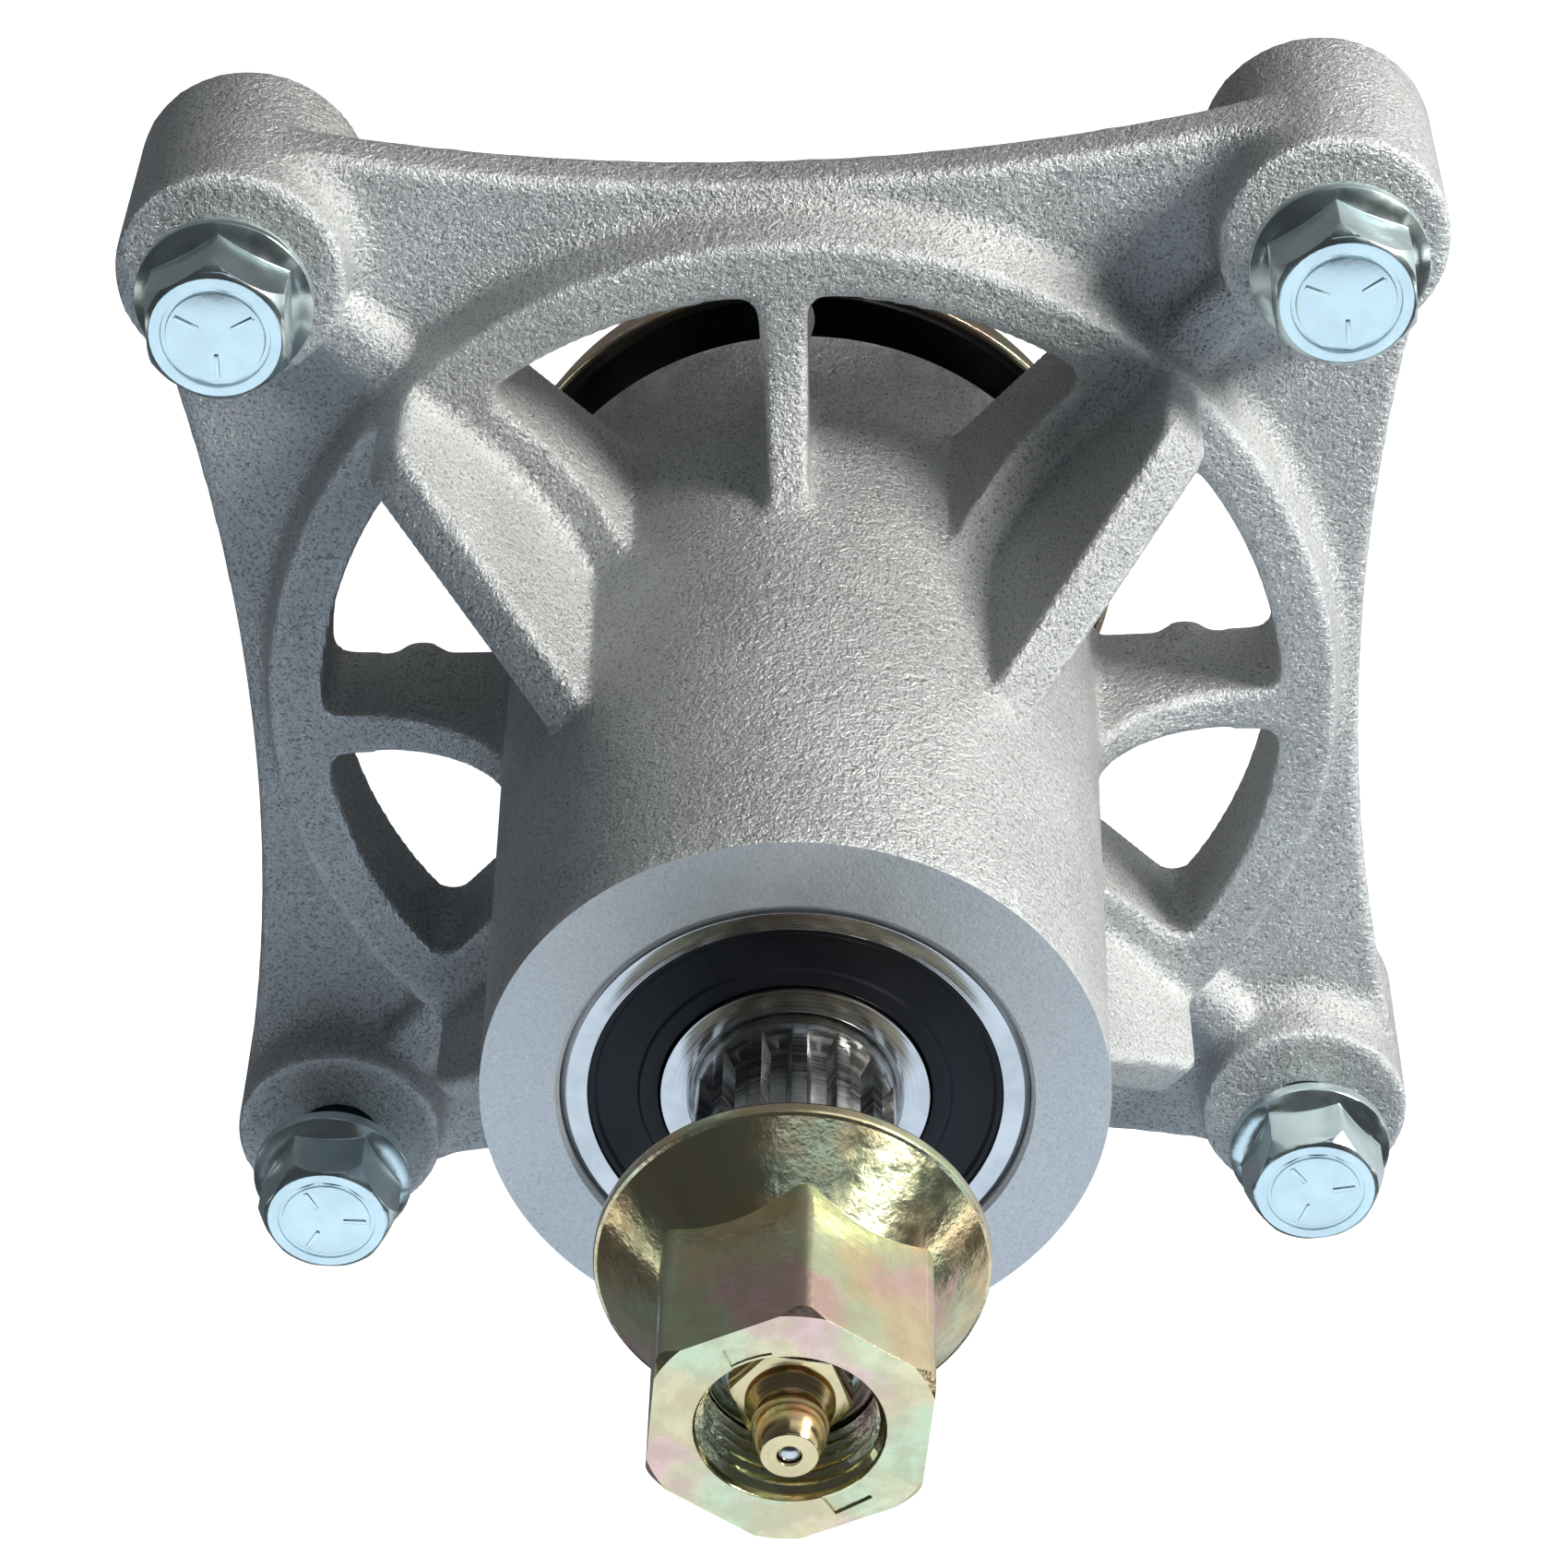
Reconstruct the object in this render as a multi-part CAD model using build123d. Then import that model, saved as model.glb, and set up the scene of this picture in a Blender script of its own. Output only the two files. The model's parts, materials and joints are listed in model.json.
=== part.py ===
from build123d import *
import os
from math import atan2, cos, degrees, hypot, pi, radians, sin, sqrt, tan

# Mower deck spindle, millimetres.
# Z is the spindle axis and points to the pulley end. Z = 0 is the face that the four
# bosses stand on, where the deck shell is.

# Cast housing: bosses and plate
boss_spacing = 128.3
boss_height = 27.0
boss_radius = 13.5
boss_draft = 1.0
boss_foot = 3.0
bolt_hole = 11.0
plate_rise = 11.3
plate_thickness = 7.3
plate_edge_round = 1.2
side_hollow = 7.5

# Cast housing: raised ring, spokes and gussets
ring_radius = 66.3
ring_width = 6.7
ring_draft_width = 1.0
ring_foot = 2.2
spoke_ring_width = 6.0
spoke_hub_width = 4.6
slab_width = 17.0
window_corner = 2.6
hub_corner = 0.9
blend_reach = 17.0
blend_rise = 10.5
gusset_thickness = 6.3
gusset_hub_height = 36.5
gusset_end_height = 14.3
gusset_shoulder = 5.0
gusset_edge_round = 1.0
gusset_root = 4.0
gusset_sink = 3.0
arm_width = 9.0
arm_height = 3.6
arm_round = 3.0
pad_radius = 3.4
pad_height = 1.4
pad_wrap = 1.3
pad_place = 48.5

# Cast housing: bearing hub
hub_top = 102.0
hub_top_radius = 34.7
hub_draft = 1.5
hub_below_deck = 5.0
hub_edge_round = 0.8
hub_skirt_step = 0.4
bearing_recess = 0.5
lower_recess = 1.0
seat_chamfer = 0.8
hub_bore = 45.0

# Ball bearings, two of one size
bearing_bore = 22.2
bearing_outer = 52.0
bearing_width = 15.0
bearing_chamfer = 0.8
outer_land = 45.8
outer_shoulder = 44.0
inner_land = 29.7
inner_shoulder = 33.0
ball_diameter = 7.94
ball_count = 9
race_clearance = 0.15
seal_thickness = 1.3
seal_recess = 0.35
seal_lip_gap = 0.25
seal_step = 0.35
seal_floor_gap = 0.4
seal_rim_band = 0.7
seal_lip_band = 2.0
seal_band_slope = 0.35
cage_wall = 3.6
cage_height = 9.6
pocket_clearance = 0.12

# Spindle shaft
collar_diameter = 30.0
collar_length = 18.5
collar_chamfer = 0.4
spline_teeth = 14
spline_turn = 20.7
spline_start = 1.3
spline_runout = 4.0
spline_length = 24.4
spline_root_radius = 9.75
spline_runout_dip = 0.2
groove_floor = 1.7
groove_mouth = 3.5
thread_diameter = 19.05
thread_length = 19.0
end_chamfer = 0.9
blade_seat_radius = 25.0
blade_seat_thickness = 7.0
pilot_points = 6
pilot_radius = 14.2
pilot_valley = 11.6
pilot_height = 6.0
blade_bolt_hole = 9.9
blade_bolt_depth = 30.0
drill_point = 118.0
grease_bore = 4.0
grease_port_height = 49.0

# Tube between the inner rings
spacer_outer = 28.6
spacer_clearance = 0.2
spacer_port = 6.0

# Flange nut
nut_rise = 1.0
nut_height = 26.4
nut_across_flats = 28.0
nut_turn = -7.4
nut_flange_radius = 20.9
nut_rim = 1.9
nut_flange_slope = 1.2
nut_chamfer_drop = 3.45
nut_chamfer_start = 0.3
nut_cone_gap = 2.0
nut_thread_clearance = 0.04
nut_mouth = 0.2
stake_width = 5.2
stake_reach = 4.4
stake_depth = 0.9
nut_edge = 0.7
nut_face_margin = 0.5
nut_thread_start = 1.0
nut_start_height = 0.3
stake_angles = (118.0, -63.0)

# Grease fitting
fitting_hex = 11.2
fitting_hex_height = 4.0
fitting_hex_turn = 17.6
fitting_shank = 9.7
fitting_shank_length = 7.0
fitting_hole_gap = 0.5
fitting_height = 12.2
fitting_neck = 3.25
fitting_shoulder = 4.6
fitting_head = 4.0
fitting_tip = 2.9
fitting_inlet = 2.5
fitting_passage = 3.6
fitting_seat_depth = 0.5
fitting_chamber_depth = 3.0
fitting_lower_step = 0.6
fitting_hex_edge = 0.7
fitting_hex_edge_height = 0.4
fitting_rises = (0.9, 1.9, 2.7, 3.9, 4.9)
check_ball_diameter = 3.2
check_ball_gap = 0.05
spring_wire = 0.4
spring_turns = 5
spring_gap = 0.2
spring_end_gap = 0.1

# Dust cup on the collar
cup_radius = 41.0
cup_sheet = 1.6
cup_depth = 10.5
cup_corner = 5.0
cup_lip = 1.4
cup_lip_bend = 1.0

# Deck bolts
bolt_shank = 9.5
bolt_body_length = 19.0
bolt_thread_pitch_diameter = 8.5
bolt_across_flats = 15.9
bolt_flange_radius = 10.4
bolt_flange_rim = 1.9
bolt_flange_slope = 0.55
bolt_head_height = 10.2
bolt_head_chamfer = 1.0
bolt_head_chamfer_height = 2.2
bolt_below_boss = 16.0
bolt_point = 2.5
bolt_point_taper = 0.7
bolt_flange_edge = 0.4
bolt_head_edge = 0.6
bolt_head_edge_height = 0.4
bolt_ring_radius = 6.0
bolt_ring_width = 0.6
bolt_ring_depth = 0.3
# How far each bolt stands out of its seat and how its head is turned, as pictured.
bolt_rise = (3.9, 3.8, 5.8, 6.8)
bolt_turn = (-3.0, 5.0, 38.0, 26.0)

# How far cutters and joined pieces run into each other, so that no thin skin is left
overlap = 1.0

# Values that follow from the sizes above
half_spacing = boss_spacing / 2
plate_top = plate_rise + plate_thickness
window_radius = ring_radius - ring_width
hub_bottom = -hub_below_deck
upper_bearing = hub_top - bearing_recess - bearing_width
lower_bearing = hub_bottom + lower_recess
collar_top = lower_bearing
collar_bottom = collar_top - collar_length
seat_bottom = collar_bottom - blade_seat_thickness
pilot_bottom = seat_bottom - pilot_height
journal_radius = bearing_bore / 2
spline_bottom = upper_bearing + bearing_width + spline_start
spline_top = spline_bottom + spline_length
shaft_top = spline_top + thread_length
nut_bottom = spline_top + nut_rise
nut_top = nut_bottom + nut_height
fitting_top = shaft_top + fitting_height
ball_circle = (bearing_bore + bearing_outer) / 4
boss_places = (
    (-half_spacing, half_spacing),
    (half_spacing, half_spacing),
    (half_spacing, -half_spacing),
    (-half_spacing, -half_spacing),
)


def hub_radius(height):
    """Outer radius of the hub's cone at a height."""
    return hub_top_radius + (hub_top - height) * tan(radians(hub_draft))


def turned(points):
    """Solid of revolution about Z from (radius, height) points."""
    return revolve(Plane.XZ * make_face(Polyline(*points, close=True)), Axis.Z)


def ring_of(inner, outer, low, high):
    """Plain ring between two radii and two heights."""
    return turned([(inner, low), (outer, low), (outer, high), (inner, high)])


def upright(sketch, low, high):
    """Prism of a flat sketch between two heights."""
    return extrude(Pos(0, 0, low) * sketch, high - low)


def plate_outline():
    """Square outline with bosses at the corners and hollow sides that meet them smoothly."""
    side_radius = (half_spacing**2 - 2 * boss_radius * side_hollow + side_hollow**2) / (2 * side_hollow)
    side_centre = half_spacing + boss_radius - side_hollow + side_radius
    share = boss_radius / (side_radius + boss_radius)
    near = half_spacing * (1 - share)
    far = half_spacing + (side_centre - half_spacing) * share
    corners = [(near, far), (far, near), (far, -near), (near, -far)]
    corners += [(-near, -far), (-far, -near), (-far, near), (-near, far)]
    outline = make_face(Polyline(*corners, close=True))
    for turn in range(4):
        outline -= Rot(0, 0, 90 * turn) * Pos(side_centre, 0) * Circle(side_radius)
    for x, y in boss_places:
        outline += Pos(x, y) * Circle(boss_radius)
    return outline


def plate():
    """Flat plate with rounded edges."""
    slab = upright(plate_outline(), plate_rise, plate_top)
    rims = slab.edges().group_by(Axis.Z)
    return fillet(rims[0] + rims[-1], plate_edge_round)


def windows():
    """The windows between spokes and slabs, seen from above, with rounded corners."""
    core = hub_radius(boss_height + blend_rise)
    field = Circle(window_radius) - Circle(core)
    spoke_end = window_radius + overlap
    spoke = make_face(
        Polyline(
            (core - overlap, -spoke_hub_width / 2), (spoke_end, -spoke_ring_width / 2),
            (spoke_end, spoke_ring_width / 2), (core - overlap, spoke_hub_width / 2), close=True,
        )
    )
    slab = Pos(window_radius - core / 4, 0) * Rectangle(core, slab_width)
    for turn in range(4):
        field -= Rot(0, 0, 90 * turn) * spoke
        field -= Rot(0, 0, 45 + 90 * turn) * slab
    near_hub = [v for v in field.vertices() if hypot(v.X, v.Y) < core + overlap]
    field = fillet(near_hub, hub_corner)
    near_ring = [v for v in field.vertices() if hypot(v.X, v.Y) > window_radius - hub_corner]
    return fillet(near_ring, window_corner)


def web():
    """Ring, spokes and slabs, whose upper faces curve up into the hub."""
    core = hub_radius(boss_height + blend_rise)
    start = core + blend_reach
    blend_radius = (blend_reach**2 + blend_rise**2) / (2 * blend_rise)
    middle_angle = atan2(blend_reach, blend_radius - blend_rise) / 2
    middle = (
        start - blend_radius * sin(middle_angle),
        boss_height + blend_radius * (1 - cos(middle_angle)),
    )
    outer = ring_radius + overlap
    lines = Polyline(
        (core, boss_height + blend_rise), (0, boss_height + blend_rise), (0, plate_rise),
        (outer, plate_rise), (outer, boss_height), (start, boss_height),
    )
    lines += ThreePointArc((start, boss_height), middle, (core, boss_height + blend_rise))
    cover = revolve(Plane.XZ * make_face(lines), Axis.Z)
    pattern = Circle(ring_radius) - windows()
    return upright(pattern, plate_rise, boss_height + blend_rise + overlap) & cover


def ring_flank():
    """Sloping outer wall of the raised ring, with its round foot on the plate."""
    foot_radius = ring_radius + ring_draft_width + ring_foot
    wall_radius = ring_radius + ring_draft_width
    bend = ring_foot * (1 - sqrt(0.5))
    lines = Polyline(
        (wall_radius, plate_top + ring_foot), (ring_radius, boss_height),
        (window_radius + overlap, boss_height), (window_radius + overlap, plate_rise + overlap),
        (foot_radius, plate_rise + overlap), (foot_radius, plate_top),
    )
    lines += ThreePointArc(
        (foot_radius, plate_top),
        (wall_radius + bend, plate_top + bend),
        (wall_radius, plate_top + ring_foot),
    )
    return revolve(Plane.XZ * make_face(lines), Axis.Z)


def gusset():
    """One tall thin gusset, standing on a slab and running up the hub."""
    inner = hub_top_radius - gusset_root
    hub_face = hub_radius(boss_height + gusset_hub_height)
    low = boss_height - gusset_sink
    slope = (gusset_hub_height - gusset_end_height) / (ring_radius - hub_face)
    outline = make_face(
        Polyline(
            (inner, low), (ring_radius, low), (ring_radius, boss_height + gusset_end_height),
            (inner, boss_height + gusset_hub_height + slope * (hub_face - inner)), close=True,
        )
    )
    shoulder = outline.vertices().sort_by(Axis.X)[-2:].sort_by(Axis.Y)[-1]
    outline = fillet(shoulder, gusset_shoulder)
    blade = extrude(Plane.XZ * outline, gusset_thickness / 2, both=True)
    upper = blade.edges().filter_by_position(Axis.Z, boss_height + overlap, hub_top)
    outer = upper.filter_by_position(Axis.X, inner + overlap, ring_radius)
    long_edges = [edge for edge in outer if abs(edge.center().Y) > overlap]
    return fillet(long_edges, gusset_edge_round)


def arm():
    """Low rib that ties a boss to the ring."""
    boss_place = half_spacing * sqrt(2)
    length = boss_place - window_radius - ring_width / 2
    block = Pos(boss_place - length / 2, 0, plate_top + arm_height / 2 - overlap) * Box(
        length, arm_width, arm_height + 2 * overlap
    )
    tops = block.edges().filter_by(Axis.X).group_by(Axis.Z)[-1]
    return fillet(tops, arm_round)


def boss():
    """Round boss with draft that stands on the deck."""
    low_radius = boss_radius + boss_height * tan(radians(boss_draft))
    return turned([(0, 0), (low_radius, 0), (boss_radius, boss_height), (0, boss_height)])


def boss_flare():
    """Round foot that joins a boss to the plate."""
    bend = boss_foot * (1 - sqrt(0.5))
    core = boss_radius - 2 * overlap
    lines = Polyline(
        (boss_radius, plate_top + boss_foot), (core, plate_top + boss_foot),
        (core, plate_top - overlap), (boss_radius + boss_foot, plate_top - overlap),
        (boss_radius + boss_foot, plate_top),
    )
    lines += ThreePointArc(
        (boss_radius + boss_foot, plate_top),
        (boss_radius + bend, plate_top + bend),
        (boss_radius, plate_top + boss_foot),
    )
    return revolve(Plane.XZ * make_face(lines), Axis.Z)


def hub():
    """Long conical hub with a rounded top edge."""
    body = turned(
        [
            (0, hub_bottom), (hub_radius(plate_top) - hub_skirt_step, hub_bottom),
            (hub_radius(plate_top), plate_top), (hub_top_radius, hub_top), (0, hub_top),
        ]
    )
    return fillet(body.edges().group_by(Axis.Z)[-1], hub_edge_round)


def hub_hollow():
    """Bearing seats and the bore between them."""
    seat = bearing_outer / 2
    mouth = seat + seat_chamfer + overlap
    low_seat = lower_bearing + bearing_width
    return turned(
        [
            (0, hub_bottom - overlap), (mouth, hub_bottom - overlap), (seat, hub_bottom + seat_chamfer),
            (seat, low_seat), (hub_bore / 2, low_seat), (hub_bore / 2, upper_bearing),
            (seat, upper_bearing), (seat, hub_top - seat_chamfer), (mouth, hub_top + overlap),
            (0, hub_top + overlap),
        ]
    )


def housing():
    """The whole casting."""
    body = plate() - Pos(0, 0, plate_rise - overlap) * Cylinder(
        window_radius, plate_thickness + 2 * overlap, align=(Align.CENTER, Align.CENTER, Align.MIN)
    )
    outline = upright(plate_outline(), plate_top - 2 * overlap, boss_height)
    body += ring_flank()
    for x, y in boss_places:
        body += Pos(x, y) * boss()
        body += (Pos(x, y) * boss_flare()) & outline
    for turn in range(4):
        body += Rot(0, 0, 45 + 90 * turn) * arm()
    body += web()
    body += hub()
    for turn in range(4):
        body += Rot(0, 0, 45 + 90 * turn) * gusset()
        body += Rot(0, 0, 90 * turn) * Pos(pad_place, 0, plate_rise - pad_height) * Cylinder(
            pad_radius, pad_height + pad_wrap, align=(Align.CENTER, Align.CENTER, Align.MIN)
        )
    for x, y in boss_places:
        body -= Pos(x, y, -overlap) * Cylinder(
            bolt_hole / 2, boss_height + 2 * overlap, align=(Align.CENTER, Align.CENTER, Align.MIN)
        )
    return body - hub_hollow()


def race_groove():
    """Torus that cuts the ball track into a ring."""
    return Torus(ball_circle, ball_diameter / 2 + race_clearance)


def outer_ring():
    """Outer race, centred on the origin, with a step at each side for a seal."""
    half = bearing_width / 2
    step = half - seal_recess - seal_thickness
    outer = bearing_outer / 2
    body = turned(
        [
            (outer_land / 2, -half), (outer - bearing_chamfer, -half), (outer, bearing_chamfer - half),
            (outer, half - bearing_chamfer), (outer - bearing_chamfer, half), (outer_land / 2, half),
            (outer_land / 2, step), (outer_shoulder / 2, step), (outer_shoulder / 2, -step),
            (outer_land / 2, -step),
        ]
    )
    return body - race_groove()


def inner_ring():
    """Inner race, centred on the origin."""
    half = bearing_width / 2
    step = half - seal_recess - seal_thickness - seal_floor_gap
    bore = bearing_bore / 2
    body = turned(
        [
            (bore + bearing_chamfer, -half), (inner_land / 2, -half), (inner_land / 2, -step),
            (inner_shoulder / 2, -step), (inner_shoulder / 2, step), (inner_land / 2, step),
            (inner_land / 2, half), (bore + bearing_chamfer, half), (bore, half - bearing_chamfer),
            (bore, bearing_chamfer - half),
        ]
    )
    return body - race_groove()


def ball_set():
    """All the balls of one bearing."""
    ball = Sphere(ball_diameter / 2)
    return [Rot(0, 0, 360 * n / ball_count) * Pos(ball_circle, 0, 0) * ball for n in range(ball_count)]


def cage():
    """Ring with one pocket for each ball."""
    inner = ball_circle - cage_wall / 2
    body = ring_of(inner, inner + cage_wall, -cage_height / 2, cage_height / 2)
    for n in range(ball_count):
        body -= Rot(0, 0, 360 * n / ball_count) * Pos(ball_circle, 0, 0) * Rot(0, 90, 0) * Cylinder(
            ball_diameter / 2 + pocket_clearance, 2 * cage_wall
        )
    return body


def seal():
    """Rubber shield for the upper side of a bearing, with a raised band at its lip."""
    high = bearing_width / 2 - seal_recess
    low = high - seal_thickness
    lip = inner_land / 2 + seal_lip_gap
    rim = outer_land / 2
    return turned(
        [
            (lip, low), (rim, low), (rim, high), (rim - seal_rim_band, high),
            (rim - seal_rim_band - seal_band_slope, high - seal_step),
            (lip + seal_lip_band + seal_band_slope, high - seal_step),
            (lip + seal_lip_band, high), (lip, high),
        ]
    )


def spline_grooves():
    """Cutter for all the spline grooves, which run out at their lower end."""
    reach = journal_radius + overlap
    share = (reach - spline_root_radius) / (journal_radius - spline_root_radius)
    mouth = groove_floor + (groove_mouth - groove_floor) * share
    groove = make_face(
        Polyline(
            (spline_root_radius, -groove_floor / 2), (reach, -mouth / 2),
            (reach, mouth / 2), (spline_root_radius, groove_floor / 2), close=True,
        )
    )
    runout = turned(
        [
            (0, spline_bottom - overlap), (reach + overlap, spline_bottom - overlap),
            (reach + overlap, spline_bottom), (journal_radius, spline_bottom),
            (spline_root_radius - spline_runout_dip, spline_bottom + spline_runout),
            (0, spline_bottom + spline_runout),
        ]
    )
    cutter = upright(groove, spline_bottom - overlap / 2, spline_top + overlap)
    grooves = [Rot(0, 0, spline_turn + 360 * n / spline_teeth) * cutter for n in range(spline_teeth)]
    return [groove_cut - runout for groove_cut in grooves]


def star():
    """Star outline that centres the blade."""
    points = []
    for n in range(2 * pilot_points):
        radius = pilot_radius if n % 2 == 0 else pilot_valley
        angle = pi * n / pilot_points
        points.append((radius * cos(angle), radius * sin(angle)))
    return make_face(Polyline(*points, close=True))


def shaft():
    """Spindle shaft with blade seat, collar, journal, spline and thread."""
    thread = thread_diameter / 2
    collar = collar_diameter / 2
    body = turned(
        [
            (0, seat_bottom), (blade_seat_radius - end_chamfer, seat_bottom),
            (blade_seat_radius, seat_bottom + end_chamfer),
            (blade_seat_radius, collar_bottom - end_chamfer),
            (blade_seat_radius - end_chamfer, collar_bottom), (collar, collar_bottom),
            (collar, collar_top - collar_chamfer), (collar - collar_chamfer, collar_top),
            (journal_radius, collar_top),
            (journal_radius, spline_top - end_chamfer), (journal_radius - end_chamfer, spline_top),
            (thread, spline_top), (thread, shaft_top - end_chamfer), (thread - end_chamfer, shaft_top),
            (0, shaft_top),
        ]
    )
    body += upright(star(), pilot_bottom, seat_bottom)
    for groove in spline_grooves():
        body -= groove
    drill = blade_bolt_hole / 2
    hole_end = pilot_bottom + blade_bolt_depth
    body -= turned(
        [
            (0, pilot_bottom - overlap), (drill, pilot_bottom - overlap), (drill, hole_end),
            (0, hole_end + drill / tan(radians(drill_point / 2))),
        ]
    )
    body -= Pos(0, 0, shaft_top - fitting_shank_length - fitting_hole_gap) * Cylinder(
        fitting_shank / 2, fitting_shank_length + 2 * fitting_hole_gap,
        align=(Align.CENTER, Align.CENTER, Align.MIN),
    )
    body -= Pos(0, 0, grease_port_height) * Cylinder(
        grease_bore / 2, shaft_top - grease_port_height, align=(Align.CENTER, Align.CENTER, Align.MIN)
    )
    body -= Pos(0, 0, grease_port_height + grease_bore / 2) * Rot(0, 90, 0) * Cylinder(
        grease_bore / 2, 4 * journal_radius
    )
    return body


def spacer_tube():
    """Tube that holds the inner rings apart, with a port for grease."""
    inner = journal_radius + spacer_clearance
    body = ring_of(inner, spacer_outer / 2, lower_bearing + bearing_width, upper_bearing)
    return body - Pos(0, 0, grease_port_height + grease_bore / 2) * Rot(0, 90, 0) * Cylinder(
        spacer_port / 2, 2 * spacer_outer
    )


def hexagon(across_flats):
    """Hexagon with a corner on +Y."""
    return RegularPolygon(across_flats / sqrt(3), 6, rotation=30)


def flange_nut():
    """Tall hexagon nut with a conical flange and two staked marks in its face."""
    bore = thread_diameter / 2 + nut_thread_clearance
    corner = nut_across_flats / sqrt(3)
    cone_top = nut_bottom + nut_rim + nut_flange_slope * nut_flange_radius
    cone_end = nut_top - nut_chamfer_drop - nut_cone_gap
    clear = corner + nut_chamfer_start
    flange = turned(
        [
            (0, nut_bottom), (nut_flange_radius - nut_edge, nut_bottom),
            (nut_flange_radius, nut_bottom + nut_edge), (nut_flange_radius, nut_bottom + nut_rim),
            (0, cone_top),
        ]
    )
    flange = flange & ring_of(0, nut_flange_radius + overlap, nut_bottom, cone_end)
    face_radius = nut_across_flats / 2 - nut_face_margin
    start = bore + nut_thread_start
    block = upright(Rot(0, 0, nut_turn) * hexagon(nut_across_flats), nut_bottom + overlap / 2, nut_top)
    block &= turned(
        [
            (0, nut_bottom), (clear, nut_bottom), (clear, nut_top - nut_chamfer_drop),
            (face_radius, nut_top), (0, nut_top),
        ]
    )
    body = flange + block
    body -= turned(
        [
            (0, nut_bottom - overlap), (start, nut_bottom - overlap),
            (start, nut_bottom + nut_start_height),
            (bore, nut_bottom + nut_start_height + nut_thread_start), (bore, nut_top - nut_mouth),
            (bore + nut_mouth, nut_top),
            (bore + nut_mouth, nut_top + overlap), (0, nut_top + overlap),
        ]
    )
    for angle in stake_angles:
        body -= Rot(0, 0, angle) * Pos(bore + stake_reach / 2, 0, nut_top) * Box(
            stake_reach, stake_width, 2 * stake_depth
        )
    return body


def grease_fitting():
    """Nipple with hexagon, shank, neck, head and an open inlet."""
    low = shaft_top - fitting_shank_length
    hex_top = shaft_top + fitting_hex_height
    passage = fitting_passage / 2
    seat_top = fitting_top - fitting_seat_depth
    seat_rise = passage - fitting_inlet / 2
    chamber = shaft_top - fitting_chamber_depth
    narrow = passage - fitting_lower_step
    corner = fitting_hex / sqrt(3)
    rises = [hex_top + rise for rise in fitting_rises]
    body = upright(Rot(0, 0, fitting_hex_turn) * hexagon(fitting_hex), shaft_top, hex_top)
    body &= turned(
        [
            (0, shaft_top), (corner, shaft_top), (corner, hex_top - fitting_hex_edge_height),
            (corner - fitting_hex_edge, hex_top), (0, hex_top),
        ]
    )
    body += turned([(0, low), (fitting_shank / 2, low), (fitting_shank / 2, shaft_top), (0, shaft_top)])
    body += turned(
        [
            (0, hex_top), (fitting_shoulder, hex_top), (fitting_shoulder, rises[0]),
            (fitting_neck, rises[1]), (fitting_neck, rises[2]), (fitting_head, rises[3]),
            (fitting_head, rises[4]),
            (fitting_tip, fitting_top), (0, fitting_top),
        ]
    )
    return body - turned(
        [
            (0, low - overlap), (narrow, low - overlap), (narrow, chamber), (passage, chamber),
            (passage, seat_top - seat_rise), (fitting_inlet / 2, seat_top),
            (fitting_inlet / 2, fitting_top + overlap), (0, fitting_top + overlap),
        ]
    )


def check_ball_height():
    """Height of the ball's centre when it closes the inlet."""
    passage = fitting_passage / 2
    seat_low = fitting_top - fitting_seat_depth - (passage - fitting_inlet / 2)
    reach = check_ball_diameter / 2 + check_ball_gap
    return seat_low + passage - reach * sqrt(2)


def check_ball():
    """Ball that closes the inlet."""
    return Pos(0, 0, check_ball_height()) * Sphere(check_ball_diameter / 2)


def check_spring():
    """Coil spring under the ball."""
    radius = fitting_passage / 2 - spring_gap - spring_wire / 2
    low = shaft_top - fitting_chamber_depth + spring_wire / 2
    contact = sqrt((check_ball_diameter / 2 + spring_wire / 2) ** 2 - radius**2)
    high = check_ball_height() - contact - spring_end_gap
    path = Helix(pitch=(high - low) / spring_turns, height=high - low, radius=radius)
    start = Plane(origin=path @ 0, z_dir=path % 0)
    return Pos(0, 0, low) * sweep(start * Rectangle(spring_wire, spring_wire), path=path)


def dust_cup():
    """Pressed cup that turns with the shaft, opens to the hub and has a flared rim."""
    floor = collar_bottom
    high = floor + cup_depth
    hole = collar_diameter / 2
    wall = cup_radius - cup_lip
    inner_wall = wall - cup_sheet
    bend = 1 - sqrt(0.5)
    outer_corner = cup_corner
    inner_corner = cup_corner - cup_sheet
    under_lip = high - cup_sheet
    lip_start = wall + cup_lip_bend
    wide_bend = cup_lip_bend + cup_sheet
    lines = Polyline((wall, floor + outer_corner), (wall, under_lip - cup_lip_bend))
    lines += ThreePointArc(
        (wall, under_lip - cup_lip_bend),
        (wall + cup_lip_bend * bend, under_lip - cup_lip_bend * bend),
        (lip_start, under_lip),
    )
    lines += Polyline((lip_start, under_lip), (cup_radius, under_lip), (cup_radius, high), (lip_start, high))
    lines += ThreePointArc(
        (lip_start, high),
        (inner_wall + wide_bend * bend, high - wide_bend * bend),
        (inner_wall, high - wide_bend),
    )
    lines += Polyline((inner_wall, high - wide_bend), (inner_wall, floor + cup_sheet + inner_corner))
    lines += ThreePointArc(
        (inner_wall, floor + cup_sheet + inner_corner),
        (inner_wall - inner_corner * bend, floor + cup_sheet + inner_corner * bend),
        (inner_wall - inner_corner, floor + cup_sheet),
    )
    lines += Polyline(
        (inner_wall - inner_corner, floor + cup_sheet), (hole, floor + cup_sheet), (hole, floor),
        (wall - outer_corner, floor),
    )
    lines += ThreePointArc(
        (wall - outer_corner, floor),
        (wall - outer_corner * bend, floor + outer_corner * bend),
        (wall, floor + outer_corner),
    )
    return revolve(Plane.XZ * make_face(lines), Axis.Z)


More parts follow.
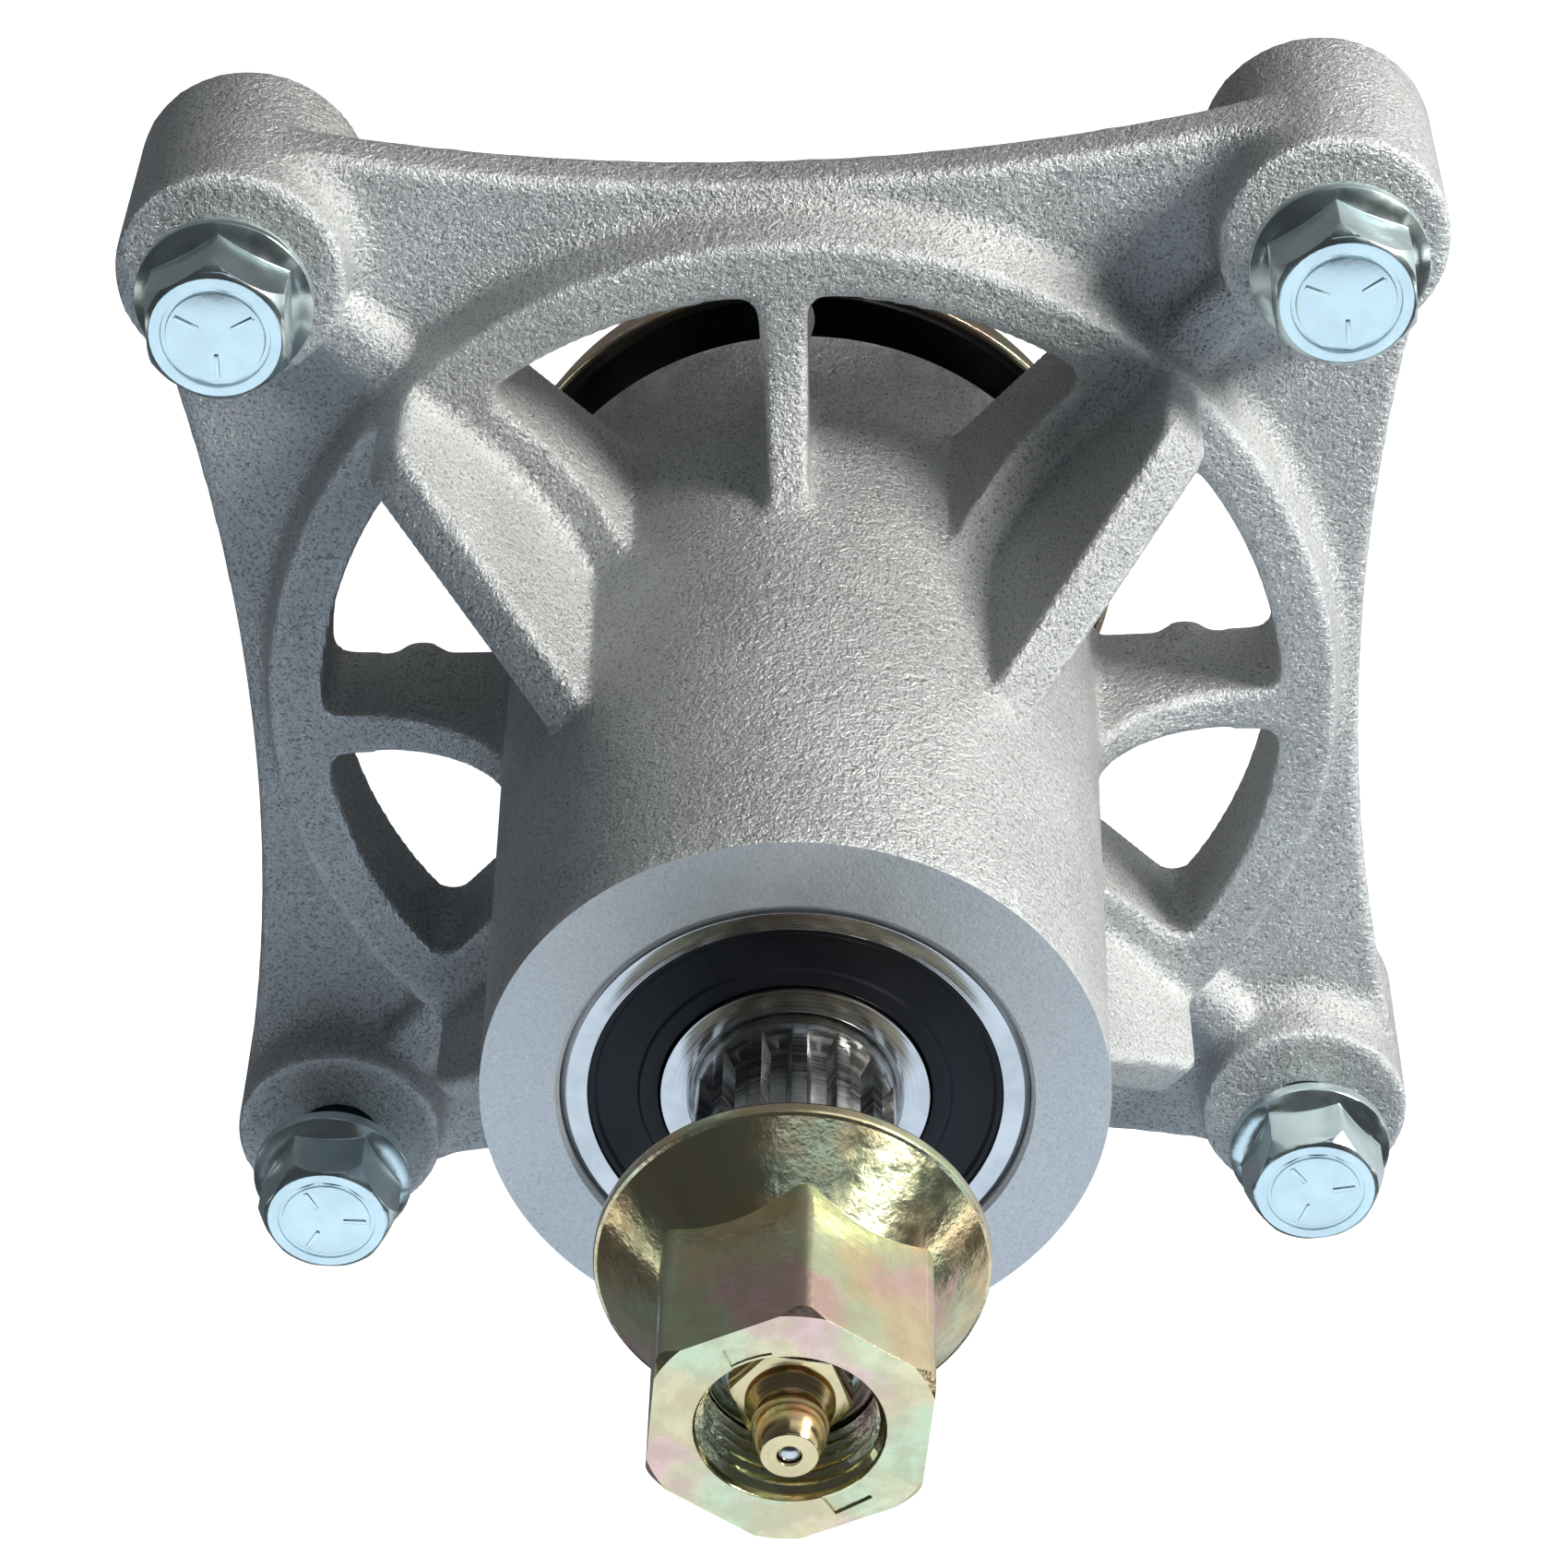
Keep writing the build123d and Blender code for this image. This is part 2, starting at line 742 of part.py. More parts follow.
def deck_bolt():
    """Hexagon flange bolt with its seat at Z = 0, its head above and its thread below its body."""
    corner = bolt_across_flats / sqrt(3)
    shank = bolt_shank / 2
    flange_top = bolt_flange_rim + bolt_flange_slope * (bolt_flange_radius - shank)
    flange = turned(
        [
            (0, 0), (bolt_flange_radius - bolt_flange_edge, 0), (bolt_flange_radius, bolt_flange_edge),
            (bolt_flange_radius, bolt_flange_rim), (shank, flange_top), (0, flange_top),
        ]
    )
    head = upright(hexagon(bolt_across_flats), bolt_flange_rim / 2, bolt_head_height) & turned(
        [
            (0, 0), (corner, 0), (corner, bolt_head_height - bolt_head_chamfer_height),
            (corner - bolt_head_chamfer, bolt_head_height - bolt_head_edge_height),
            (corner - bolt_head_chamfer - bolt_head_edge, bolt_head_height), (0, bolt_head_height),
        ]
    )
    groove_low = bolt_head_height - bolt_ring_depth
    ring_inner = bolt_ring_radius - bolt_ring_width / 2
    head -= ring_of(ring_inner, ring_inner + bolt_ring_width, groove_low, bolt_head_height + overlap)
    low = -boss_height - bolt_below_boss
    thread = bolt_thread_pitch_diameter / 2
    stem = turned(
        [
            (0, low), (thread - bolt_point_taper, low), (thread, low + bolt_point),
            (thread, thread - shank - bolt_body_length), (shank, -bolt_body_length),
            (shank, overlap), (0, overlap),
        ]
    )
    return flange + head + stem


def deck_bolts():
    """The four bolts in their bosses."""
    return [
        Pos(x, y, boss_height + rise) * Rot(0, 0, turn) * deck_bolt()
        for (x, y), rise, turn in zip(boss_places, bolt_rise, bolt_turn)
    ]


def bearing(name, base):
    """The pieces of one bearing whose lower face is at the given height."""
    place = Pos(0, 0, base + bearing_width / 2)
    top_seal = seal()
    return {
        f"{name}_outer_ring": place * outer_ring(),
        f"{name}_inner_ring": place * inner_ring(),
        f"{name}_balls": [place * ball for ball in ball_set()],
        f"{name}_cage": place * cage(),
        f"{name}_top_seal": place * top_seal,
        f"{name}_bottom_seal": place * Rot(180, 0, 0) * top_seal,
    }


def all_parts():
    """Every node of the assembly."""
    parts = {
        "housing": housing(),
        "shaft": shaft(),
        "spacer_tube": spacer_tube(),
        "flange_nut": flange_nut(),
        "grease_fitting": grease_fitting(),
        "check_ball": check_ball(),
        "check_spring": check_spring(),
        "dust_cup": dust_cup(),
        "deck_bolts": deck_bolts(),
    }
    parts.update(bearing("upper_bearing", upper_bearing))
    parts.update(bearing("lower_bearing", lower_bearing))
    return parts


os.makedirs("parts", exist_ok=True)
for node, shape in all_parts().items():
    solids = shape if isinstance(shape, list) else shape.solids()
    piece = solids[0] if len(solids) == 1 else Compound(children=list(solids))
    export_step(piece, f"parts/{node}.step")
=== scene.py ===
"""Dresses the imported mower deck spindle: cast housing, bearings, shaft, nut, fitting, cup and bolts."""

import json
from math import atan2, cos, hypot, pi, radians, sin, sqrt

import bmesh
import bpy
from bpy.props import FloatProperty, FloatVectorProperty, IntProperty, PointerProperty
from mathutils import Matrix, Vector

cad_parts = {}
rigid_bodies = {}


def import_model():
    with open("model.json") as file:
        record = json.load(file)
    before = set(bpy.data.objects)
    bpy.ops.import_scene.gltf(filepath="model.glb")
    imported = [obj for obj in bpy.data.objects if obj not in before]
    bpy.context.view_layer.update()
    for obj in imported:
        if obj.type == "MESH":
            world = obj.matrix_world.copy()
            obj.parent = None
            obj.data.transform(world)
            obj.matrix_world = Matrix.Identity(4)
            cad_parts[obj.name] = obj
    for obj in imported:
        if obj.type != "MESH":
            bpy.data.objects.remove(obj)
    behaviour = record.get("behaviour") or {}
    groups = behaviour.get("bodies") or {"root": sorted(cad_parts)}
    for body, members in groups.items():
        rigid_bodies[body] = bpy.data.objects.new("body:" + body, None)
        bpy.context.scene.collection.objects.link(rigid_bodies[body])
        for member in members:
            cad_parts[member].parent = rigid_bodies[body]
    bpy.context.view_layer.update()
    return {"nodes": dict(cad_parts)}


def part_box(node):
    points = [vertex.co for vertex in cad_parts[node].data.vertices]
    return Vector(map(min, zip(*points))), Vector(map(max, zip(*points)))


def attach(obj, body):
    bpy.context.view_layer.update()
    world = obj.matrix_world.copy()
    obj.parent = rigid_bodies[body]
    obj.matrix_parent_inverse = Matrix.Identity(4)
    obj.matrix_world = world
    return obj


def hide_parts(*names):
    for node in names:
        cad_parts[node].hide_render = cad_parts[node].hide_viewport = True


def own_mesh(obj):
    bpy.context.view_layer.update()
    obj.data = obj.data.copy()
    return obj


for start_object in list(bpy.data.objects):
    bpy.data.objects.remove(start_object)
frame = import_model()

bl_info = {
    "name": "Mower deck spindle",
    "version": (1, 0, 0),
    "blender": (4, 5, 0),
    "location": "View3D > Sidebar > Spindle",
    "description": "Builds the pieces and finishes of a mower deck spindle around its packed solids",
    "category": "Object",
}

MM = 0.001
WELD = 0.000002
FLAT = radians(0.6)
RING_SEGMENTS, HUB_SEGMENTS, NUT_SEGMENTS = 144, 160, 180
BORE_SEGMENTS, HOLE_SEGMENTS, THREAD_SEGMENTS = 96, 72, 48
TRACK_STEPS = 8
# Where the root and the crest of a thread start and end, as shares of its pitch
THREAD_SHARES = (0.0, 0.14, 0.5, 0.64)
FULL_TURN = 2 * pi

# Turn of each bolt's grade dashes in degrees, by the sides of the axis it stands on
BOLT_TURNS = {(-1, 1): -3.0, (1, 1): 5.0, (1, -1): -22.0, (-1, -1): -34.0}
STAKE_ANGLES = (radians(110), radians(-60))

housing_low, housing_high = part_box("housing")
bearing_low, bearing_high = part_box("upper_bearing_outer_ring")
lower_bearing_low, lower_bearing_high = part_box("lower_bearing_outer_ring")
nut_low, nut_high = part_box("flange_nut")
fitting_low, fitting_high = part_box("grease_fitting")
shaft_low, shaft_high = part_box("shaft")
cup_low, cup_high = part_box("dust_cup")


def length(label, about, default):
    """A size that a user may change, given in millimetres."""
    return FloatProperty(name=label, description=about, default=default * MM, unit="LENGTH", precision=5)


def angle_size(label, about, default):
    """An angle that a user may change, given in degrees."""
    return FloatProperty(name=label, description=about, default=radians(default), subtype="ANGLE")


def colour(label, about, default):
    """A colour that a user may change."""
    return FloatVectorProperty(
        name=label, description=about, default=default, subtype="COLOR", min=0.0, max=1.0
    )


class CastingSizes(bpy.types.PropertyGroup):
    """Sizes of the casting's soft skin and of its machined faces."""
    grain_step: length("Skin step", "Width of one cell of the cast skin", 0.7)
    skin_rounds: IntProperty(
        name="Skin rounding", description="How often the skin is evened out", default=4, min=0, max=60
    )
    stock: length("Stock", "Metal that machining takes off each end of the hub", 3.0)
    face_count: IntProperty(
        name="Faces", description="Triangles left in the finished casting", default=165000, min=20000
    )
    seat_radius: length("Seat radius", "Radius of the bearing seats", 26.0)
    seat_chamfer: length("Seat chamfer", "Chamfer at the mouth of a bearing seat", 0.45)
    bore_radius: length("Bore radius", "Radius of the hub's bore between the bearings", 22.5)
    bolt_hole: length("Bolt hole radius", "Radius of the holes in the bosses", 5.5)
    bolt_place: length("Bolt place", "Half the side of the bolt square", 64.15)
    boss_height: length("Boss height", "Height of the bosses over the deck", 27.0)
    draft: length("Draft", "How far the hub widens over its height", 2.67)
    facing: length("Facing radius", "How far out the hub's ends are faced", 60)
    mill: length("Mill radius", "Radius of the tool that faces the bosses' feet", 18)
    boss_foot: length("Boss foot", "Radius of the metal that lengthens a boss", 13.9)
    boss_fill: length("Boss fill", "Radius of the metal that fills a boss's top", 8)


class BoltSizes(bpy.types.PropertyGroup):
    """Sizes of the deck bolts' finish."""
    edge: length("Edge", "Rounding of the rolled edges", 0.28)
    thread_radius: length("Thread radius", "Outer radius of the thread", 4.75)
    thread_depth: length("Thread depth", "Depth of the thread", 0.62)
    pitch: length("Pitch", "Pitch of the thread", 1.5875)
    point: length("Point", "Height of the tapered point", 2.5)
    point_taper: length("Point taper", "How much narrower the point's end is", 1.2)
    dash_inner: length("Dash start", "Where a grade dash starts, from the middle", 2.2)
    dash_outer: length("Dash end", "Where a grade dash ends, from the middle", 5.2)
    dash_width: length("Dash width", "Width of a grade dash", 0.55)
    dash_height: length("Dash height", "How far a grade dash stands out", 0.22)


class NutSizes(bpy.types.PropertyGroup):
    """Sizes of the flange nut."""
    across_flats: length("Across flats", "Width of the hexagon across its flats", 28.0)
    turn: angle_size("Turn", "Turn of the hexagon", -7.4)
    corner: length("Corner", "Rounding of the upright corners", 1.2)
    edge: length("Edge", "Rounding of the forged edges", 0.45)
    chamfer: length("Chamfer", "Height of the cone that cuts the front corners back", 1.5)
    face_radius: length("Face radius", "Radius of the flat front face", 15.0)
    rim: length("Rim", "Thickness of the flange at its rim", 1.9)
    flange_slope: FloatProperty(name="Flange slope", description="Rise of the flange's cone", default=1.2)
    bore_radius: length("Bore radius", "Radius at the roots of the thread", 9.62)
    thread_depth: length("Thread depth", "Depth of the thread", 0.85)
    pitch: length("Pitch", "Pitch of the thread", 1.5875)
    mouth_radius: length("Mouth radius", "Radius of the chamfer over the thread", 9.75)
    mouth_depth: length("Mouth depth", "Depth of the chamfer over the thread", 1.6)
    stake_width: length("Stake width", "Width of a staked mark", 4.4)
    stake_length: length("Stake length", "Length of a staked mark", 2.9)
    stake_depth: length("Stake depth", "Depth of a staked mark", 0.3)


class FittingSizes(bpy.types.PropertyGroup):
    """Sizes of the grease fitting."""
    hex_flats: length("Across flats", "Width of the hexagon across its flats", 11.2)
    hex_height: length("Hexagon height", "Height of the hexagon", 4.0)
    hex_turn: angle_size("Hexagon turn", "Turn of the hexagon", 17.6)
    shank: length("Shank radius", "Radius of the screwed shank", 4.85)
    shoulder: length("Shoulder radius", "Radius of the collar on the hexagon", 4.6)
    neck: length("Neck radius", "Radius of the neck", 3.25)
    head: length("Head radius", "Radius of the head that the coupler grips", 4.0)
    tip: length("Tip radius", "Radius of the flat tip", 2.9)
    inlet: length("Inlet radius", "Radius of the mouth in front of the ball", 1.25)
    passage: length("Passage radius", "Radius of the passage round the spring", 1.8)
    ledge: length("Ledge", "How far the ledge under the spring and the hexagon's collar step in", 0.6)
    seat: length("Seat depth", "Depth of the ball's seat under the tip", 0.5)
    chamber: length("Chamber", "Depth of the spring's chamber under the hexagon", 3.0)
    collar_top: length("Collar top", "Height of the collar over the hexagon", 0.9)
    neck_low: length("Neck start", "Where the neck starts over the hexagon", 1.9)
    neck_high: length("Neck end", "Where the neck ends over the hexagon", 2.7)
    head_low: length("Head start", "Where the head is full over the hexagon", 3.9)
    head_high: length("Head end", "Where the head starts to taper over the hexagon", 4.9)
    edge: length("Edge", "Rounding of the turned edges", 0.22)
    hex_edge: length("Hexagon edge", "Rounding of the hexagon's edges", 0.3)


class ShaftSizes(bpy.types.PropertyGroup):
    """Sizes of the shaft's edges and of its thread for the blade bolt."""
    edge: length("Edge", "Rounding of the turned edges", 0.16)
    root: length("Thread root", "Radius at the roots of the thread", 4.95)
    crest: length("Thread crest", "Radius at the crests of the thread", 4.3)
    back: length("Thread back", "Radius of the back of the threaded sleeve", 5.3)
    pitch: length("Pitch", "Pitch of the thread", 1.5)
    thread_start: length("Thread start", "Where the thread starts over the shaft's end", 0.8)
    thread_end: length("Thread end", "Where the thread ends over the shaft's end", 28)
    ball_travel: length("Ball travel", "How far the inlet ball can be pushed in", 1.0)


class BearingSizes(bpy.types.PropertyGroup):
    """Sizes of the ball bearings' rings and seals."""
    chamfer: length("Chamfer", "Corner of the rings", 0.8)
    edge: length("Edge", "Rounding of the ground edges", 0.14)
    outer_land: length("Outer land", "Radius inside the outer ring where the seal sits", 22.9)
    outer_shoulder: length("Outer shoulder", "Radius beside the outer track", 22.0)
    inner_land: length("Inner land", "Radius outside the inner ring beside the seal", 14.85)
    inner_shoulder: length("Inner shoulder", "Radius beside the inner track", 16.5)
    ball_circle: length("Ball circle", "Radius of the circle of the balls", 18.55)
    track: length("Track radius", "Radius of the ball track", 4.12)
    seal_recess: length("Seal recess", "How deep the seal sits under the ring's face", 0.35)
    seal_thickness: length("Seal thickness", "Thickness of the seal", 1.3)
    seal_floor: length("Seal floor", "Room under the seal on the inner ring", 0.4)


class CupSizes(bpy.types.PropertyGroup):
    """Sizes of the dust cup."""
    sheet: length("Sheet", "Thickness of the pressed sheet", 1.6)
    lip: length("Lip", "How far the rim flares out", 1.4)
    lip_bend: length("Lip bend", "Radius of the bend under the lip", 1.0)
    corner: length("Corner", "Radius between wall and floor", 5.0)
    hole: length("Hole radius", "Radius of the hole on the collar", 15.0)


class Colours(bpy.types.PropertyGroup):
    """Main colours of the finishes."""
    casting: colour("Casting", "Blasted aluminium", (0.62, 0.63, 0.64))
    machined: colour("Machined face", "Turned aluminium", (0.66, 0.67, 0.68))
    gold_zinc: colour("Gold zinc", "Yellow passivated zinc", (0.86, 0.70, 0.43))
    green_zinc: colour("Green zinc", "Green part of the yellow zinc", (0.70, 0.76, 0.50))
    rose_zinc: colour("Rose zinc", "Rose part of the yellow zinc", (0.90, 0.56, 0.54))
    clear_zinc: colour("Clear zinc", "Blue passivated zinc", (0.68, 0.80, 0.82))
    brass: colour("Brass", "Turned brass", (0.80, 0.63, 0.36))
    chrome_steel: colour("Bearing steel", "Ground bearing steel", (0.62, 0.62, 0.63))
    shaft_steel: colour("Shaft steel", "Turned and ground shaft steel", (0.50, 0.50, 0.49))
    rubber: colour("Seal", "Rubber of the seals", (0.004, 0.005, 0.009))
    cage: colour("Cage", "Moulded cage", (0.42, 0.30, 0.17))
    # The film colour is painted shade: it darkens the inside of the dust cup, where shade falls.
    film: colour("Film", "Greasy film inside the dust cup", (0.03, 0.028, 0.022))
    floor: colour("Floor", "Pale floor", (0.93, 0.93, 0.93))


class StageSizes(bpy.types.PropertyGroup):
    """Camera, lamps and floor."""
    camera_place: FloatVectorProperty(
        name="Camera place", description="Where the camera stands", subtype="TRANSLATION",
        default=(15.51 * MM, 294.57 * MM, 472.29 * MM),
    )
    camera_turn: FloatVectorProperty(
        name="Camera turn", description="How the camera is turned", subtype="EULER",
        default=(radians(-34.32), radians(0.72), radians(-2.35)),
    )
    lens: FloatProperty(name="Lens", description="Focal length in millimetres", default=98.6)
    floor_width: length("Floor width", "Width of the pale floor", 6000.0)


SIZE_GROUPS = {
    "spindle_casting": CastingSizes,
    "spindle_bolts": BoltSizes,
    "spindle_nut": NutSizes,
    "spindle_fitting": FittingSizes,
    "spindle_shaft": ShaftSizes,
    "spindle_bearing": BearingSizes,
    "spindle_cup": CupSizes,
    "spindle_colours": Colours,
    "spindle_stage": StageSizes,
}


finishes = {}


# Modelling helpers


def mark_sharp(bm, angle):
    """Shades every face smooth and keeps the edges over an angle sharp."""
    for face in bm.faces:
        face.smooth = True
    for edge in bm.edges:
        edge.smooth = edge.calc_face_angle(0) < angle


def round_edges(bm, width, angle=radians(25), segments=2):
    """Rounds the edges over an angle."""
    sharp = [edge for edge in bm.edges if edge.calc_face_angle(0) > angle]
    bmesh.ops.bevel(
        bm, geom=sharp, offset=width, offset_type="OFFSET", segments=segments, profile=0.5,
        affect="EDGES", clamp_overlap=True, material=-1,
    )


def spun(profile, segments=RING_SEGMENTS):
    """A turned shape from the (radius, height) points of its closed outline, in metres."""
    bm = bmesh.new()
    points = [bm.verts.new((radius, 0, height)) for radius, height in profile]
    lines = [bm.edges.new(pair) for pair in zip(points, points[1:] + points[:1])]
    bmesh.ops.spin(
        bm, geom=points + lines, cent=(0, 0, 0), axis=(0, 0, 1), dvec=(0, 0, 0),
        angle=FULL_TURN, steps=segments, use_merge=True,
    )
    bmesh.ops.remove_doubles(bm, verts=bm.verts, dist=WELD)
    bmesh.ops.recalc_face_normals(bm, faces=bm.faces)
    return bm


def arc(middle, radius, start, end, count):
    """Points of an arc in the (radius, height) plane, angles in radians."""
    steps = [start + (end - start) * n / count for n in range(count + 1)]
    return [(middle[0] + radius * cos(a), middle[1] + radius * sin(a)) for a in steps]


def threaded(root, crest, pitch, low, high):
    """Open helical thread surface between two heights."""
    bm = bmesh.new()
    turns = int((high - low) / pitch) + 3
    chain = []
    for n in range(turns):
        start = low + (n - 2) * pitch
        for radius, share in zip((root, root, crest, crest), THREAD_SHARES):
            chain.append(bm.verts.new((radius, 0, start + share * pitch)))
    lines = [bm.edges.new(pair) for pair in zip(chain, chain[1:])]
    bmesh.ops.spin(
        bm, geom=chain + lines, cent=(0, 0, 0), axis=(0, 0, 1), dvec=(0, 0, pitch / THREAD_SEGMENTS),
        angle=FULL_TURN, steps=THREAD_SEGMENTS, use_merge=False,
    )
    bmesh.ops.remove_doubles(bm, verts=bm.verts, dist=WELD)
    for height, outward in ((low, -1), (high, 1)):
        bmesh.ops.bisect_plane(
            bm, geom=bm.verts[:] + bm.edges[:] + bm.faces[:], dist=WELD, plane_co=(0, 0, height),
            plane_no=(0, 0, outward), clear_outer=True,
        )
    return bm


def set_radius(v, radius):
    """Moves a point to another distance from the axis."""
    share = radius / hypot(v.co.x, v.co.y)
    v.co.x *= share
    v.co.y *= share


def bar(radius, low, high, segments, end_radius=None, turn=0):
    """Round or many-sided bar between two heights, with a corner on +Y before its turn."""
    bm = bmesh.new()
    place = Matrix.Translation((0, 0, (low + high) / 2)) @ Matrix.Rotation(turn, 4, "Z")
    bmesh.ops.create_cone(
        bm, cap_ends=True, segments=segments, radius1=radius, radius2=end_radius or radius,
        depth=high - low, matrix=place,
    )
    return bm


def block(span, width, height, middle, angle=0):
    """Block around a point, then turned round the axis."""
    bm = bmesh.new()
    place = Matrix.Rotation(angle, 4, "Z") @ Matrix.Translation(middle)
    size = Matrix.Diagonal((span, width, height, 1))
    bmesh.ops.create_cube(bm, size=1.0, matrix=place @ size)
    return bm


def threaded_rod(root, crest, pitch, low, high):
    """Closed rod with a thread."""
    bm = threaded(root, crest, pitch, low, high)
    bmesh.ops.holes_fill(bm, edges=[edge for edge in bm.edges if edge.is_boundary], sides=0)
    bmesh.ops.recalc_face_normals(bm, faces=bm.faces)
    return bm


def threaded_sleeve(root, crest, pitch, low, high, back):
    """Closed sleeve with a thread inside, whose back is sunk in the piece around it."""
    bm = threaded(root, crest, pitch, low, high)
    for face in bm.faces:
        middle = face.calc_center_median()
        if face.normal.x * middle.x + face.normal.y * middle.y > 0:
            face.normal_flip()
    ring = bmesh.ops.extrude_face_region(bm, geom=bm.faces[:])
    for v in {part for part in ring["geom"] if isinstance(part, bmesh.types.BMVert)}:
        set_radius(v, back)
    bmesh.ops.remove_doubles(bm, verts=bm.verts, dist=WELD)
    bmesh.ops.recalc_face_normals(bm, faces=bm.faces)
    return bm


def flattened(bm):
    """Makes flat faces whole."""
    bmesh.ops.dissolve_limit(
        bm, angle_limit=FLAT, use_dissolve_boundaries=False, verts=bm.verts, edges=bm.edges, delimit=set()
    )
    return bm


def shape_of(piece):
    """The shape of an object."""
    bm = bmesh.new()
    bm.from_mesh(piece.data)
    return bm


def merged_copy(node):
    """Copy of a CAD node with its loose triangles joined and flat faces made whole."""
    bm = shape_of(frame["nodes"][node])
    for face in bm.faces:
        face.material_index = 0
    bmesh.ops.remove_doubles(bm, verts=bm.verts, dist=WELD)
    return flattened(bm)


def join(bm, other, matrix=Matrix.Identity(4)):
    """Adds another shape to a shape."""
    bmesh.ops.transform(other, matrix=matrix, verts=other.verts)
    mesh = bpy.data.meshes.new("joined")
    other.to_mesh(mesh)
    other.free()
    bm.from_mesh(mesh)
    bpy.data.meshes.remove(mesh)


def loose_object(bm, name):
    """Scene object for a shape that is still being worked on."""
    mesh = bpy.data.meshes.new(name)
    bm.to_mesh(mesh)
    bm.free()
    piece = bpy.data.objects.new(name, mesh)
    bpy.context.scene.collection.objects.link(piece)
    return piece


def keep_modifiers(piece):
    """Makes the result of the modifiers the piece's own mesh."""
    bpy.context.view_layer.update()
    seen = piece.evaluated_get(bpy.context.evaluated_depsgraph_get())
    mesh = bpy.data.meshes.new_from_object(seen)
    old = piece.data
    piece.modifiers.clear()
    piece.data = mesh
    bpy.data.meshes.remove(old)


def drop(piece):
    """Takes a helper object out of the scene."""
    mesh = piece.data
    bpy.data.objects.remove(piece)
    bpy.data.meshes.remove(mesh)


def boolean(piece, other, operation):
    """Joins, cuts or crosses a piece with another, which is used up."""
    change = piece.modifiers.new("boolean", "BOOLEAN")
    change.operation = operation
    change.object = other
    change.solver = "MANIFOLD"
    keep_modifiers(piece)
    drop(other)


def finished(bm, name, finish, body, node, sharp=radians(32)):
    """Turns a shape into a named piece that rides on a body."""
    bmesh.ops.recalc_face_normals(bm, faces=bm.faces)
    mark_sharp(bm, sharp)
    piece = loose_object(bm, name)
    for part in finish if isinstance(finish, tuple) else (finish,):
        piece.data.materials.append(finishes[part])
    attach(piece, body)
    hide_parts(node)
    return piece


# Finishes: shared effects


def effect_group(name, inputs, outputs):
    """Empty shader group with float inputs and the given outputs."""
    tree = bpy.data.node_groups.new(name, "ShaderNodeTree")
    for label, value in inputs:
        socket = tree.interface.new_socket(label, in_out="INPUT", socket_type="NodeSocketFloat")
        socket.default_value = value
    for label in outputs:
        tree.interface.new_socket(label, in_out="OUTPUT", socket_type="NodeSocketFloat")
    return tree, tree.nodes.new("NodeGroupInput"), tree.nodes.new("NodeGroupOutput")


def node_in(tree, kind, **settings):
    """New node with its settings and socket values."""
    node = tree.nodes.new(kind)
    for key, value in settings.items():
        if hasattr(node, key):
            setattr(node, key, value)
        else:
            node.inputs[key.replace("_", " ")].default_value = value
    return node


def maths(tree, operation, first, second=None):
    """Math node on two values or sockets."""
    node = tree.nodes.new("ShaderNodeMath")
    node.operation = operation
    for place, value in enumerate((first, second)):
        if value is None:
            continue
        if isinstance(value, (int, float)):
            node.inputs[place].default_value = value
        else:
            tree.links.new(value, node.inputs[place])
    return node.outputs[0]


def ramp(tree, value, low, high):
    """Stretches the part of a value between low and high to 0 to 1."""
    node = node_in(
        tree, "ShaderNodeMapRange", interpolation_type="SMOOTHSTEP", From_Min=low, From_Max=high
    )
    tree.links.new(value, node.inputs["Value"])
    return node.outputs["Result"]


def place_of(tree):
    """Object coordinates."""
    return tree.nodes.new("ShaderNodeTexCoord").outputs["Object"]


def noise(tree, scale, detail=3.0, roughness=0.55):
    """Noise on object coordinates. Scale is a value or a socket."""
    node = node_in(tree, "ShaderNodeTexNoise", Detail=detail, Roughness=roughness)
    tree.links.new(place_of(tree), node.inputs["Vector"])
    if isinstance(scale, (int, float)):
        node.inputs["Scale"].default_value = scale
    else:
        tree.links.new(scale, node.inputs["Scale"])
    return node.outputs["Fac"]


